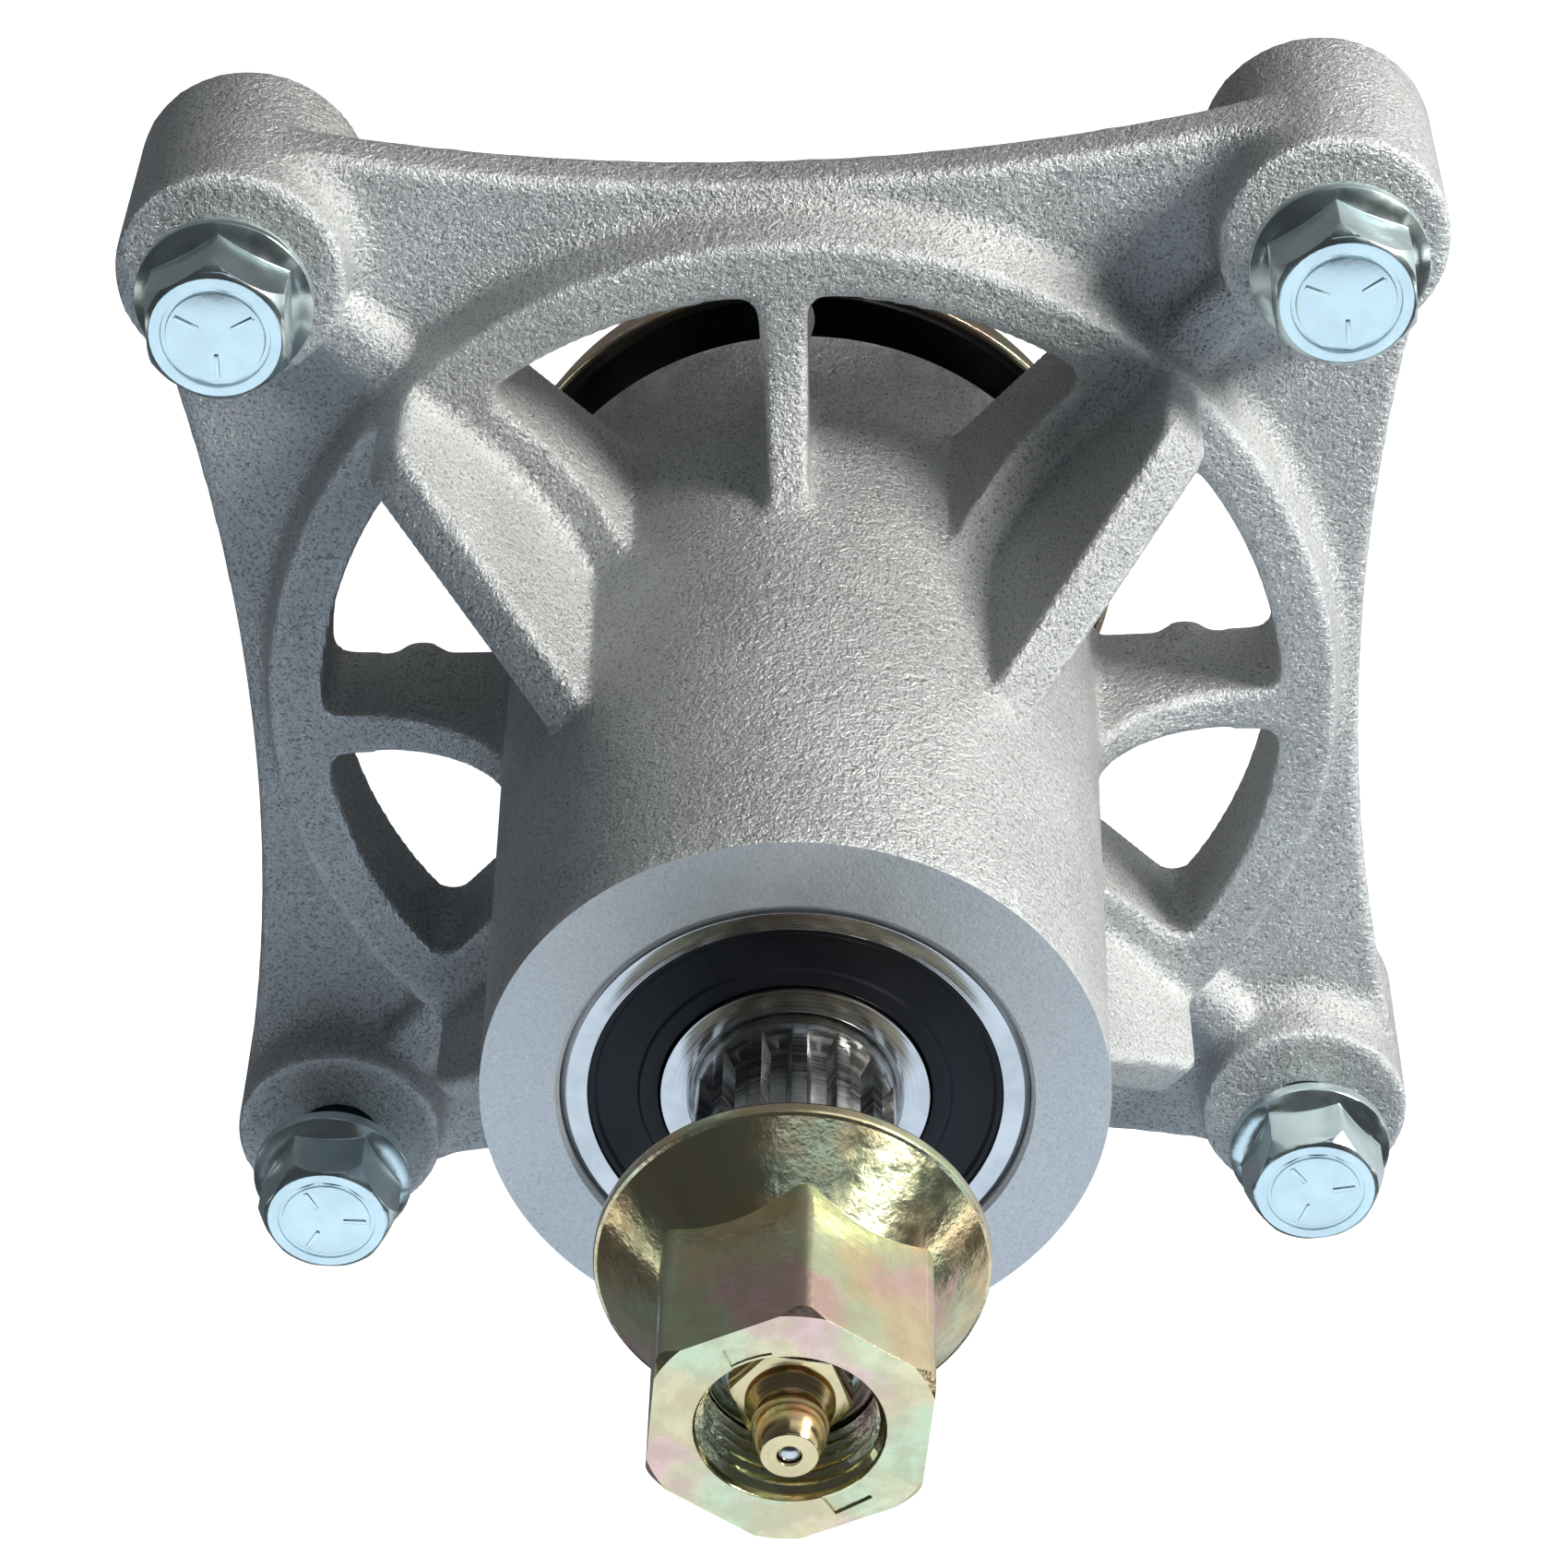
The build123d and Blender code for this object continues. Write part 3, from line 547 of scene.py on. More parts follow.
def make_effects():
    """The shader groups that several finishes share."""
    effects = {}

    tree, given, result = effect_group(
        "cast grain", [("Grain", 2200.0), ("Clumps", 700.0)], ["Height", "Painted glint and gloss", "Painted pit shade"]
    )
    fine = noise(tree, given.outputs["Grain"], 3.0, 0.7)
    clumps = noise(tree, given.outputs["Clumps"], 2.0, 0.5)
    height = maths(tree, "ADD", fine, maths(tree, "MULTIPLY", clumps, 0.9))
    tree.links.new(height, result.inputs["Height"])
    # The Sparkle output marks spots of the fine grain where glints are painted in a lighter colour and the
    # surface is made glossier.
    tree.links.new(ramp(tree, fine, 0.58, 0.70), result.inputs["Painted glint and gloss"])
    # The Hollow output marks the low spots of the fine grain, which are painted darker as the shade in its
    # pits.
    tree.links.new(ramp(tree, fine, 0.48, 0.36), result.inputs["Painted pit shade"])
    effects["grain"] = tree

    tree, given, result = effect_group("cloudy", [("Size", 60.0)], ["Mask"])
    tree.links.new(ramp(tree, noise(tree, given.outputs["Size"], 3.0), 0.35, 0.66), result.inputs["Mask"])
    effects["cloudy"] = tree

    tree, given, result = effect_group("turning marks", [("Marks", 2600.0)], ["Height", "Mask"])
    parts = tree.nodes.new("ShaderNodeSeparateXYZ")
    tree.links.new(place_of(tree), parts.inputs[0])
    across = maths(tree, "MULTIPLY", parts.outputs["X"], parts.outputs["X"])
    along = maths(tree, "MULTIPLY", parts.outputs["Y"], parts.outputs["Y"])
    radius = maths(tree, "SQRT", maths(tree, "ADD", across, along))
    reach = maths(tree, "ADD", radius, maths(tree, "MULTIPLY", parts.outputs["Z"], 0.73))
    lines = tree.nodes.new("ShaderNodeTexNoise")
    lines.noise_dimensions = "1D"
    lines.inputs["Detail"].default_value = 2.0
    tree.links.new(maths(tree, "MULTIPLY", reach, given.outputs["Marks"]), lines.inputs["W"])
    lines.inputs["Scale"].default_value = 1.0
    tree.links.new(lines.outputs["Fac"], result.inputs["Height"])
    tree.links.new(ramp(tree, lines.outputs["Fac"], 0.4, 0.62), result.inputs["Mask"])
    effects["turning"] = tree

    # Edge mask: sharp, broken edges are made lighter, partly as wear and partly as a painted highlight.
    tree, given, result = effect_group("edge wear", [("Low", 0.515), ("High", 0.56)], ["Mask"])
    shape = tree.nodes.new("ShaderNodeNewGeometry")
    spread = tree.nodes.new("ShaderNodeMapRange")
    tree.links.new(shape.outputs["Pointiness"], spread.inputs["Value"])
    tree.links.new(given.outputs["Low"], spread.inputs["From Min"])
    tree.links.new(given.outputs["High"], spread.inputs["From Max"])
    broken = maths(tree, "MULTIPLY", spread.outputs["Result"], ramp(tree, noise(tree, 260.0), 0.3, 0.6))
    tree.links.new(broken, result.inputs["Mask"])
    effects["wear_and_highlight"] = tree
    return effects


def place_effect(tree, effect, **values):
    """Puts a shared effect in a material with its own values."""
    node = tree.nodes.new("ShaderNodeGroup")
    node.node_tree = effect
    for key, value in values.items():
        node.inputs[key].default_value = value
    return node.outputs


def mixed(tree, mask, first, second):
    """Mix of two colours or sockets by a mask."""
    node = tree.nodes.new("ShaderNodeMix")
    node.data_type = "RGBA"
    tree.links.new(mask, node.inputs["Factor"])
    for label, value in (("A", first), ("B", second)):
        socket = [s for s in node.inputs if s.name == label and s.type == "RGBA"][0]
        if hasattr(value, "is_output"):
            tree.links.new(value, socket)
        else:
            socket.default_value = (*value, 1.0)
    return [s for s in node.outputs if s.type == "RGBA"][0]


def level(tree, mask, low, high):
    """A value that goes from low to high with a mask."""
    node = node_in(tree, "ShaderNodeMapRange", To_Min=low, To_Max=high)
    tree.links.new(mask, node.inputs["Value"])
    return node.outputs["Result"]


def blank_finish(name, metallic, **constants):
    """New material with its shader; constants go on the shader's own sockets."""
    material = bpy.data.materials.new(name)
    material.use_nodes = True
    tree = material.node_tree
    shader = tree.nodes["Principled BSDF"]
    shader.inputs["Metallic"].default_value = metallic
    for key, value in constants.items():
        shader.inputs[key.replace("_", " ")].default_value = value
    return material, tree, shader


def shade(base, factor):
    """A colour made lighter or darker."""
    return tuple(min(1.0, part * factor) for part in base)


def touched(tree, mask, share, tone, other):
    """A tone that takes on another where the mask is high."""
    return mixed(tree, level(tree, mask, 0.0, share), tone, other)


def dressed(material, tone, rough, height, depth, strength):
    """Gives a material its tone, roughness and bump."""
    tree = material.node_tree
    shader = tree.nodes["Principled BSDF"]
    tree.links.new(tone, shader.inputs["Base Color"])
    tree.links.new(rough, shader.inputs["Roughness"])
    bump = node_in(tree, "ShaderNodeBump", Strength=strength, Distance=depth)
    tree.links.new(height, bump.inputs["Height"])
    tree.links.new(bump.outputs["Normal"], shader.inputs["Normal"])
    return material


# Pointiness range of the lighter edges, partly wear and partly painted highlight.
EDGE_WEAR_AND_HIGHLIGHT = {"Low": 0.52, "High": 0.6}


def yellow_zinc_finish(effects, gold, green, rose):
    """Yellow passivated zinc whose film shifts from gold to green and rose."""
    material, tree, _ = blank_finish("yellow zinc", 1.0)
    film = ramp(tree, noise(tree, 105.0, 2.0), 0.40, 0.60)
    blush = ramp(tree, noise(tree, 62.0, 3.0, 0.6), 0.50, 0.62)
    wear_and_highlight = place_effect(tree, effects["wear_and_highlight"], **EDGE_WEAR_AND_HIGHLIGHT)["Mask"]
    stain = ramp(tree, noise(tree, 300.0, 4.0, 0.65), 0.38, 0.62)
    tone = touched(tree, blush, 0.85, mixed(tree, film, gold, green), rose)
    tone = mixed(tree, level(tree, stain, 0.35, 0.0), tone, shade(gold, 0.55))
    # The zinc's edges turn lighter gold, partly wear and partly painted highlight.
    tone = touched(tree, wear_and_highlight, 0.5, tone, shade(gold, 1.25))
    height = noise(tree, 520.0, 3.0, 0.6)
    return dressed(material, tone, level(tree, stain, 0.26, 0.17), height, 0.00016, 0.55)


def clouded_finish(effects, name, base, metallic, clouds, places, touches, rough, bump, **constants):
    """A colour in clouds, touched by the shared effects, with its roughness and bump.

    clouds: size, dark and light; places: effect to its values; touches: effect, mask, share and shade;
    rough: effect, mask and its two ends; bump: effect, or the size of a noise, depth and strength.
    """
    material, tree, _ = blank_finish(name, metallic, **constants)
    size, dark, light = clouds
    made = {"cloudy": place_effect(tree, effects["cloudy"], Size=size)}
    for effect, values in places.items():
        made[effect] = place_effect(tree, effects[effect], **values)
    tone = mixed(tree, made["cloudy"]["Mask"], shade(base, dark), shade(base, light))
    for effect, mask, share, factor in touches:
        tone = touched(tree, made[effect][mask], share, tone, shade(base, factor))
    roughness = level(tree, made[rough[0]][rough[1]], *rough[2:])
    height = made[bump[0]]["Height"] if bump[0] in made else noise(tree, bump[0])
    return dressed(material, tone, roughness, height, *bump[1:])


def turned_finish(effects, name, base, rough, marks=2400.0):
    """Turned or ground metal with fine marks round the axis."""
    # Its edges turn lighter, partly wear and partly painted highlight.
    return clouded_finish(
        effects, name, base, 1.0, (130.0, 0.9, 1.08),
        {"turning": {"Marks": marks}, "wear_and_highlight": EDGE_WEAR_AND_HIGHLIGHT}, [("wear_and_highlight", "Mask", 0.5, 1.3)],
        ("turning", "Mask", rough * 0.8, rough * 1.35), ("turning", 0.00003, 0.4),
    )


def make_finishes(colours):
    """Every finish of the spindle, by name."""
    effects = make_effects()
    # The casting's grain gets painted glints and painted shade in its pits, and its edges turn lighter,
    # partly wear and partly painted highlight.
    finishes["casting"] = clouded_finish(
        effects, "blasted casting", colours.casting, 0.8, (42.0, 0.88, 1.06),
        {"grain": {"Grain": 2500.0, "Clumps": 1100.0}, "wear_and_highlight": {"Low": 0.51, "High": 0.55}},
        [("grain", "Painted pit shade", 0.9, 0.36), ("grain", "Painted glint and gloss", 0.9, 1.62), ("wear_and_highlight", "Mask", 0.6, 1.45)],
        ("grain", "Painted glint and gloss", 0.40, 0.24), ("grain", 0.0004, 1.0),
    )
    # The turned face's grain also gets painted glints and painted shade in its pits.
    finishes["machined"] = clouded_finish(
        effects, "turned face", colours.machined, 0.85, (55.0, 0.9, 1.05),
        {"turning": {"Marks": 5200.0}, "grain": {"Grain": 3200.0, "Clumps": 1300.0}},
        [("turning", "Mask", 0.12, 0.8), ("grain", "Painted pit shade", 0.5, 0.66), ("grain", "Painted glint and gloss", 0.6, 1.3)],
        ("cloudy", "Mask", 0.48, 0.58), ("grain", 0.00012, 0.6),
    )
    finishes["yellow_zinc"] = yellow_zinc_finish(
        effects, colours.gold_zinc, colours.green_zinc, colours.rose_zinc
    )
    # The bolts' edges turn lighter, partly wear and partly painted highlight.
    finishes["clear_zinc"] = clouded_finish(
        effects, "clear zinc", colours.clear_zinc, 1.0, (160.0, 0.93, 1.07), {"wear_and_highlight": EDGE_WEAR_AND_HIGHLIGHT},
        [("wear_and_highlight", "Mask", 0.6, 1.25)], ("cloudy", "Mask", 0.17, 0.27), (700.0, 0.00005, 0.4),
    )
    finishes["brass"] = turned_finish(effects, "turned brass", colours.brass, 0.17)
    finishes["bearing_steel"] = turned_finish(effects, "bearing steel", colours.chrome_steel, 0.16, 3600.0)
    finishes["shaft_steel"] = turned_finish(effects, "shaft steel", colours.shaft_steel, 0.2)
    finishes["spring_steel"] = turned_finish(effects, "spring wire", colours.shaft_steel, 0.28, 5000.0)
    finishes["rubber"] = clouded_finish(
        effects, "seal rubber", colours.rubber, 0.0, (110.0, 1.0, 1.8),
        {"grain": {"Grain": 3500.0, "Clumps": 1500.0}}, [],
        ("cloudy", "Mask", 0.38, 0.5), ("grain", 0.00005, 0.3), Specular_IOR_Level=0.28,
    )
    finishes["cage"] = clouded_finish(
        effects, "cage plastic", colours.cage, 0.0, (150.0, 0.85, 1.1),
        {"grain": {"Grain": 2800.0, "Clumps": 1200.0}}, [],
        ("cloudy", "Mask", 0.42, 0.55), ("grain", 0.00005, 0.3),
    )
    # Near-black finish that paints the shade inside the dust cup.
    finishes["cup_painted_shade"] = clouded_finish(
        effects, "painted cup shade", colours.film, 0.0, (70.0, 0.27, 1.0),
        {"grain": {"Grain": 1600.0, "Clumps": 600.0}}, [],
        ("cloudy", "Mask", 0.3, 0.55), ("grain", 0.00006, 0.3),
    )


# Pieces


def boss_corners(reach):
    """Places of the four bosses."""
    return [Matrix.Translation((x * reach, y * reach, 0)) for x in (-1, 1) for y in (-1, 1)]


def machining_cutter(sizes):
    """All that machining takes off the casting: hub ends, seats, bore and holes."""
    top, foot = housing_high.z, housing_low.z
    above = sizes.stock * 2
    wide = sizes.facing
    seat = sizes.seat_radius
    mouth = seat + sizes.seat_chamfer
    cutter = spun(
        [
            (0, foot - above), (wide, foot - above), (wide, foot), (mouth, foot),
            (seat, foot + sizes.seat_chamfer), (seat, lower_bearing_high.z),
            (sizes.bore_radius, lower_bearing_high.z), (sizes.bore_radius, bearing_low.z),
            (seat, bearing_low.z), (seat, top - sizes.seat_chamfer), (mouth, top),
            (wide, top), (wide, top + above), (0, top + above),
        ],
        segments=HUB_SEGMENTS,
    )
    for corner in boss_corners(sizes.bolt_place):
        drill = bar(sizes.bolt_hole, -sizes.boss_height / 2, 3 * sizes.boss_height / 2, HOLE_SEGMENTS)
        join(cutter, drill, corner)
        join(cutter, bar(sizes.mill, -above, 0, THREAD_SEGMENTS), corner)
    for face in cutter.faces:
        face.material_index = 1
    return cutter


def casting_stock(sizes):
    """The casting before machining: hub filled and longer at both ends, bosses longer."""
    stock = merged_copy("housing")
    top, foot = housing_high.z + sizes.stock, housing_low.z - sizes.stock
    neck = hub_face_radius()
    join(stock, bar(neck + sizes.draft * 0.97, foot, top, HUB_SEGMENTS, neck - 0.02 * MM))
    for corner in boss_corners(sizes.bolt_place):
        peg_top = sizes.boss_height - 1 * MM
        peg = bar(sizes.boss_foot, -sizes.stock, peg_top, HOLE_SEGMENTS, sizes.boss_fill)
        join(stock, peg, corner)
    return stock


def hub_face_radius():
    """Radius of the hub's upper end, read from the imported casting."""
    high = housing_high.z - 0.9 * MM
    return max(hypot(v.co.x, v.co.y) for v in frame["nodes"]["housing"].data.vertices if v.co.z > high)


def cast_skin(piece, sizes):
    """Gives the stock its soft cast edges and fillets."""
    skin = piece.modifiers.new("skin", "REMESH")
    skin.mode = "VOXEL"
    skin.voxel_size = sizes.grain_step
    even = piece.modifiers.new("even", "SMOOTH")
    even.factor = 0.5
    even.iterations = sizes.skin_rounds
    keep_modifiers(piece)


def thinned(piece, face_count):
    """Takes out the triangles that flat places don't need."""
    piece.data.calc_loop_triangles()
    count = len(piece.data.loop_triangles)
    if count > face_count:
        fewer = piece.modifiers.new("fewer", "DECIMATE")
        fewer.ratio = face_count / count
        keep_modifiers(piece)


class SPINDLE_OT_casting(bpy.types.Operator):
    """Cast the housing with soft edges and machine its hub, seats and holes"""
    bl_idname = "spindle.casting"
    bl_label = "Cast housing"

    def execute(self, context):
        sizes = context.scene.spindle_casting
        piece = loose_object(casting_stock(sizes), "cast_housing")
        cast_skin(piece, sizes)
        thinned(piece, sizes.face_count)
        piece.data.materials.clear()
        cutter = loose_object(machining_cutter(sizes), "cutter")
        for thing in (piece, cutter):
            for finish in ("casting", "machined"):
                thing.data.materials.append(finishes[finish])
        boolean(piece, cutter, "DIFFERENCE")
        bm = shape_of(piece)
        mark_sharp(bm, radians(38))
        bm.to_mesh(piece.data)
        bm.free()
        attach(piece, "casting")
        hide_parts("housing")
        return {"FINISHED"}


def bolt_tops():
    """Middle, height and turn of each bolt's flat top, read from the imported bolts."""
    vertices = [v.co for v in frame["nodes"]["deck_bolts"].data.vertices]
    tops = []
    for (side_x, side_y), turn in BOLT_TURNS.items():
        own = [v for v in vertices if v.x * side_x > 0 and v.y * side_y > 0]
        tops.append((side_x, side_y, min(v.z for v in own), max(v.z for v in own), radians(turn)))
    return tops


def grade_dashes(sizes):
    """Three raised dashes, as on bolts of a common grade."""
    dashes = bmesh.new()
    for n in range(3):
        middle = (sizes.dash_inner + sizes.dash_outer) / 2
        span = sizes.dash_outer - sizes.dash_inner
        dash = block(span, sizes.dash_width, 2 * sizes.dash_height, (middle, 0, 0))
        round_edges(dash, 0.12 * MM)
        join(dashes, dash, Matrix.Rotation(radians(30 + 120 * n), 4, "Z"))
    return dashes


class SPINDLE_OT_deck_bolts(bpy.types.Operator):
    """Finish the four flange bolts: rolled edges, grade dashes and threads"""
    bl_idname = "spindle.deck_bolts"
    bl_label = "Deck bolts"

    def execute(self, context):
        sizes = context.scene.spindle_bolts
        place = context.scene.spindle_casting.bolt_place
        cut_height = 1.0 * MM
        bolts = merged_copy("deck_bolts")
        bmesh.ops.bisect_plane(
            bolts, geom=bolts.verts[:] + bolts.edges[:] + bolts.faces[:], dist=WELD,
            plane_co=(0, 0, cut_height), plane_no=(0, 0, -1), clear_outer=True,
        )
        bmesh.ops.holes_fill(bolts, edges=[edge for edge in bolts.edges if edge.is_boundary], sides=0)
        round_edges(bolts, sizes.edge)
        for side_x, side_y, low, high, turn in bolt_tops():
            middle = Matrix.Translation((side_x * place, side_y * place, high))
            join(bolts, grade_dashes(sizes), middle @ Matrix.Rotation(turn, 4, "Z"))
            rod = threaded_rod(
                sizes.thread_radius - sizes.thread_depth, sizes.thread_radius, sizes.pitch,
                low, cut_height + 1.5 * MM,
            )
            for v in rod.verts:
                limit = sizes.thread_radius - sizes.point_taper * max(0, 1 - (v.co.z - low) / sizes.point)
                if hypot(v.co.x, v.co.y) > limit:
                    set_radius(v, limit)
            join(bolts, rod, Matrix.Translation((side_x * place, side_y * place, 0)))
        finished(bolts, "flange_bolts", "clear_zinc", "casting", "deck_bolts")
        return {"FINISHED"}


def nut_blank(sizes):
    """The nut before its thread is cut: flange and hexagon with a cone on its front corners."""
    low, high = nut_low.z, nut_high.z
    reach = nut_high.x
    hexagon = bar(sizes.across_flats / sqrt(3), low + 0.5 * MM, high, 6, turn=sizes.turn)
    upright = [edge for edge in hexagon.edges if abs(edge.verts[0].co.z - edge.verts[1].co.z) > 1 * MM]
    bmesh.ops.bevel(
        hexagon, geom=upright, offset=sizes.corner, offset_type="OFFSET", segments=8, profile=0.5,
        affect="EDGES", material=-1,
    )
    blank = loose_object(hexagon, "nut_blank")
    slope = sizes.chamfer / (sizes.across_flats / sqrt(3) + 0.3 * MM - sizes.face_radius)
    cone = spun(
        [
            (0, low - MM), (reach, low - MM), (reach, high - slope * (reach - sizes.face_radius)),
            (sizes.face_radius, high), (0, high),
        ],
        segments=NUT_SEGMENTS,
    )
    boolean(blank, loose_object(cone, "cone"), "INTERSECT")
    edge = sizes.edge
    flange = spun(
        [
            (0, low), (reach - edge, low), (reach - 0.3 * edge, low + 0.3 * edge), (reach, low + edge),
            (reach, low + sizes.rim - edge), (reach - 0.2 * edge, low + sizes.rim - 0.4 * edge),
            (reach - edge, low + sizes.rim),
            (reach - 6 * MM, low + sizes.rim + sizes.flange_slope * (6 * MM - edge) * 0.93),
            (0, low + sizes.rim + sizes.flange_slope * reach),
        ],
        segments=NUT_SEGMENTS,
    )
    boolean(blank, loose_object(flange, "flange"), "UNION")
    return blank


def nut_thread(sizes):
    """Thread between the shaft's end and the nut's face, opened to a cone in front."""
    top = nut_high.z - 0.12 * MM
    crest = sizes.bore_radius - sizes.thread_depth
    back = sizes.mouth_radius + 0.25 * MM
    thread = threaded_sleeve(sizes.bore_radius, crest, sizes.pitch, shaft_high.z, top, back)
    for v in thread.verts:
        radius = hypot(v.co.x, v.co.y)
        opened = sizes.mouth_radius - (top - v.co.z) * (sizes.mouth_radius - crest) / sizes.mouth_depth
        if radius < opened and radius < back - 0.1 * MM:
            set_radius(v, opened)
    return thread


class SPINDLE_OT_flange_nut(bpy.types.Operator):
    """Forge the flange nut, cut its thread and stake it"""
    bl_idname = "spindle.flange_nut"
    bl_label = "Flange nut"

    def execute(self, context):
        sizes = context.scene.spindle_nut
        high = nut_high.z
        nut = nut_blank(sizes)
        softened = flattened(shape_of(nut))
        round_edges(softened, sizes.edge * 0.6, radians(22), 2)
        softened.to_mesh(nut.data)
        softened.free()
        bore = spun(
            [
                (0, nut_low.z - MM), (sizes.bore_radius, nut_low.z - MM), (sizes.bore_radius, shaft_high.z),
                (sizes.mouth_radius, shaft_high.z), (sizes.mouth_radius, high + MM), (0, high + MM),
            ],
            segments=BORE_SEGMENTS,
        )
        boolean(nut, loose_object(bore, "bore"), "DIFFERENCE")
        for angle in STAKE_ANGLES:
            middle = (sizes.bore_radius + sizes.stake_length / 2 - 0.3 * MM, 0, high)
            stake = block(sizes.stake_length, sizes.stake_width, 2 * sizes.stake_depth, middle, angle)
            boolean(nut, loose_object(stake, "stake"), "DIFFERENCE")
        shape = shape_of(nut)
        drop(nut)
        bmesh.ops.remove_doubles(shape, verts=shape.verts, dist=WELD)
        join(shape, nut_thread(sizes))
        finished(
            shape, "pulley_nut", "yellow_zinc", "spindle", "flange_nut",
            sharp=radians(9),
        )
        return {"FINISHED"}


class SPINDLE_OT_grease_fitting(bpy.types.Operator):
    """Turn the grease fitting's body and hexagon"""
    bl_idname = "spindle.grease_fitting"
    bl_label = "Grease fitting"

    def execute(self, context):
        sizes = context.scene.spindle_fitting
        base, top, low = shaft_high.z, fitting_high.z, fitting_low.z
        hex_top = base + sizes.hex_height
        seat = top - sizes.seat
        ledge = sizes.passage - sizes.ledge
        floor = base - sizes.chamber
        body = spun(
            [
                (ledge, low), (sizes.shank, low), (sizes.shank, hex_top - sizes.ledge),
                (sizes.shoulder, hex_top - sizes.ledge), (sizes.shoulder, hex_top + sizes.collar_top),
                (sizes.neck, hex_top + sizes.neck_low), (sizes.neck, hex_top + sizes.neck_high),
                (sizes.head, hex_top + sizes.head_low), (sizes.head, hex_top + sizes.head_high),
                (sizes.tip, top), (sizes.inlet, top), (sizes.inlet, seat),
                (sizes.passage, seat - (sizes.passage - sizes.inlet)), (sizes.passage, floor), (ledge, floor),
            ],
            segments=BORE_SEGMENTS,
        )
        round_edges(body, sizes.edge, segments=3)
        hexagon = bar(sizes.hex_flats / sqrt(3), base, hex_top, 6, turn=sizes.hex_turn)
        round_edges(hexagon, sizes.hex_edge)
        join(body, hexagon)
        finished(body, "grease_nipple", "brass", "spindle", "grease_fitting")
        return {"FINISHED"}


class SPINDLE_OT_shaft(bpy.types.Operator):
    """Finish the shaft: broken edges and the thread for the blade bolt"""
    bl_idname = "spindle.shaft"
    bl_label = "Shaft"

    def execute(self, context):
        sizes = context.scene.spindle_shaft
        shaft = merged_copy("shaft")
        round_edges(shaft, sizes.edge)
        thread = threaded_sleeve(
            sizes.root, sizes.crest, sizes.pitch, shaft_low.z + sizes.thread_start,
            shaft_low.z + sizes.thread_end, sizes.back,
        )
        join(shaft, thread)
        finished(shaft, "spindle_shaft", "shaft_steel", "spindle", "shaft")
        return {"FINISHED"}


def race_shape(sizes, low, high, outer):
    """Outer or inner race between two heights."""
    middle = (low + high) / 2
    step = high - middle - sizes.seal_recess - sizes.seal_thickness
    if outer:
        back, shoulder, land = bearing_high.x, sizes.outer_shoulder, sizes.outer_land
    else:
        back, shoulder, land = inner_bore(), sizes.inner_shoulder, sizes.inner_land
        step -= sizes.seal_floor
    reach = abs(shoulder - sizes.ball_circle)
    swing = atan2(sqrt(sizes.track**2 - reach**2), reach)
    start, end = (swing, -swing) if outer else (pi - swing, pi + swing)
    corner = back - sizes.chamfer if outer else back + sizes.chamfer
    race = spun(
        [
            (land, low), (corner, low), (back, low + sizes.chamfer), (back, high - sizes.chamfer),
            (corner, high), (land, high), (land, middle + step), (shoulder, middle + step),
            *arc((sizes.ball_circle, middle), sizes.track, start, end, TRACK_STEPS),
            (shoulder, middle - step), (land, middle - step),
        ]
    )
    round_edges(race, sizes.edge)
    return race


def inner_bore():
    """Radius of the inner ring's bore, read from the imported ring."""
    return min(hypot(v.co.x, v.co.y) for v in frame["nodes"]["upper_bearing_inner_ring"].data.vertices)


def seal_shape(sizes, face, outward):
    """Rubber seal whose outer side is at a height; outward is 1 for up and -1 for down."""
    high = -sizes.seal_recess
    low = high - sizes.seal_thickness
    lip = sizes.inner_land + 0.25 * MM
    rim = sizes.outer_land
    step = 0.35 * MM
    shape = spun(
        [
            (lip, low), (rim, low), (rim, high - 0.12 * MM), (rim - 0.15 * MM, high),
            (rim - 0.7 * MM, high), (rim - 1.05 * MM, high - step),
            (lip + 2.35 * MM, high - step), (lip + 2.0 * MM, high), (lip + 0.15 * MM, high),
            (lip, high - 0.15 * MM),
        ]
    )
    round_edges(shape, 0.1 * MM)
    if outward < 0:
        bmesh.ops.transform(shape, matrix=Matrix.Rotation(pi, 4, "X"), verts=shape.verts)
    bmesh.ops.translate(shape, vec=(0, 0, face), verts=shape.verts)
    return shape


class SPINDLE_OT_bearings(bpy.types.Operator):
    """Turn the rings and seals of both bearings"""
    bl_idname = "spindle.bearings"
    bl_label = "Bearings"

    def execute(self, context):
        sizes = context.scene.spindle_bearing
        spans = {
            "upper": (bearing_low.z, bearing_high.z), "lower": (lower_bearing_low.z, lower_bearing_high.z)
        }
        for name, (low, high) in spans.items():
            for side, body in (("outer", "casting"), ("inner", "spindle")):
                finished(
                    race_shape(sizes, low, high, side == "outer"), f"{name}_{side}_race",
                    "bearing_steel", body, f"{name}_bearing_{side}_ring",
                )
            for side, end, face, outward in (("above", "top", high, 1), ("below", "bottom", low, -1)):
                finished(
                    seal_shape(sizes, face, outward), f"{name}_seal_{side}", "rubber", "casting",
                    f"{name}_bearing_{end}_seal",
                )
        return {"FINISHED"}


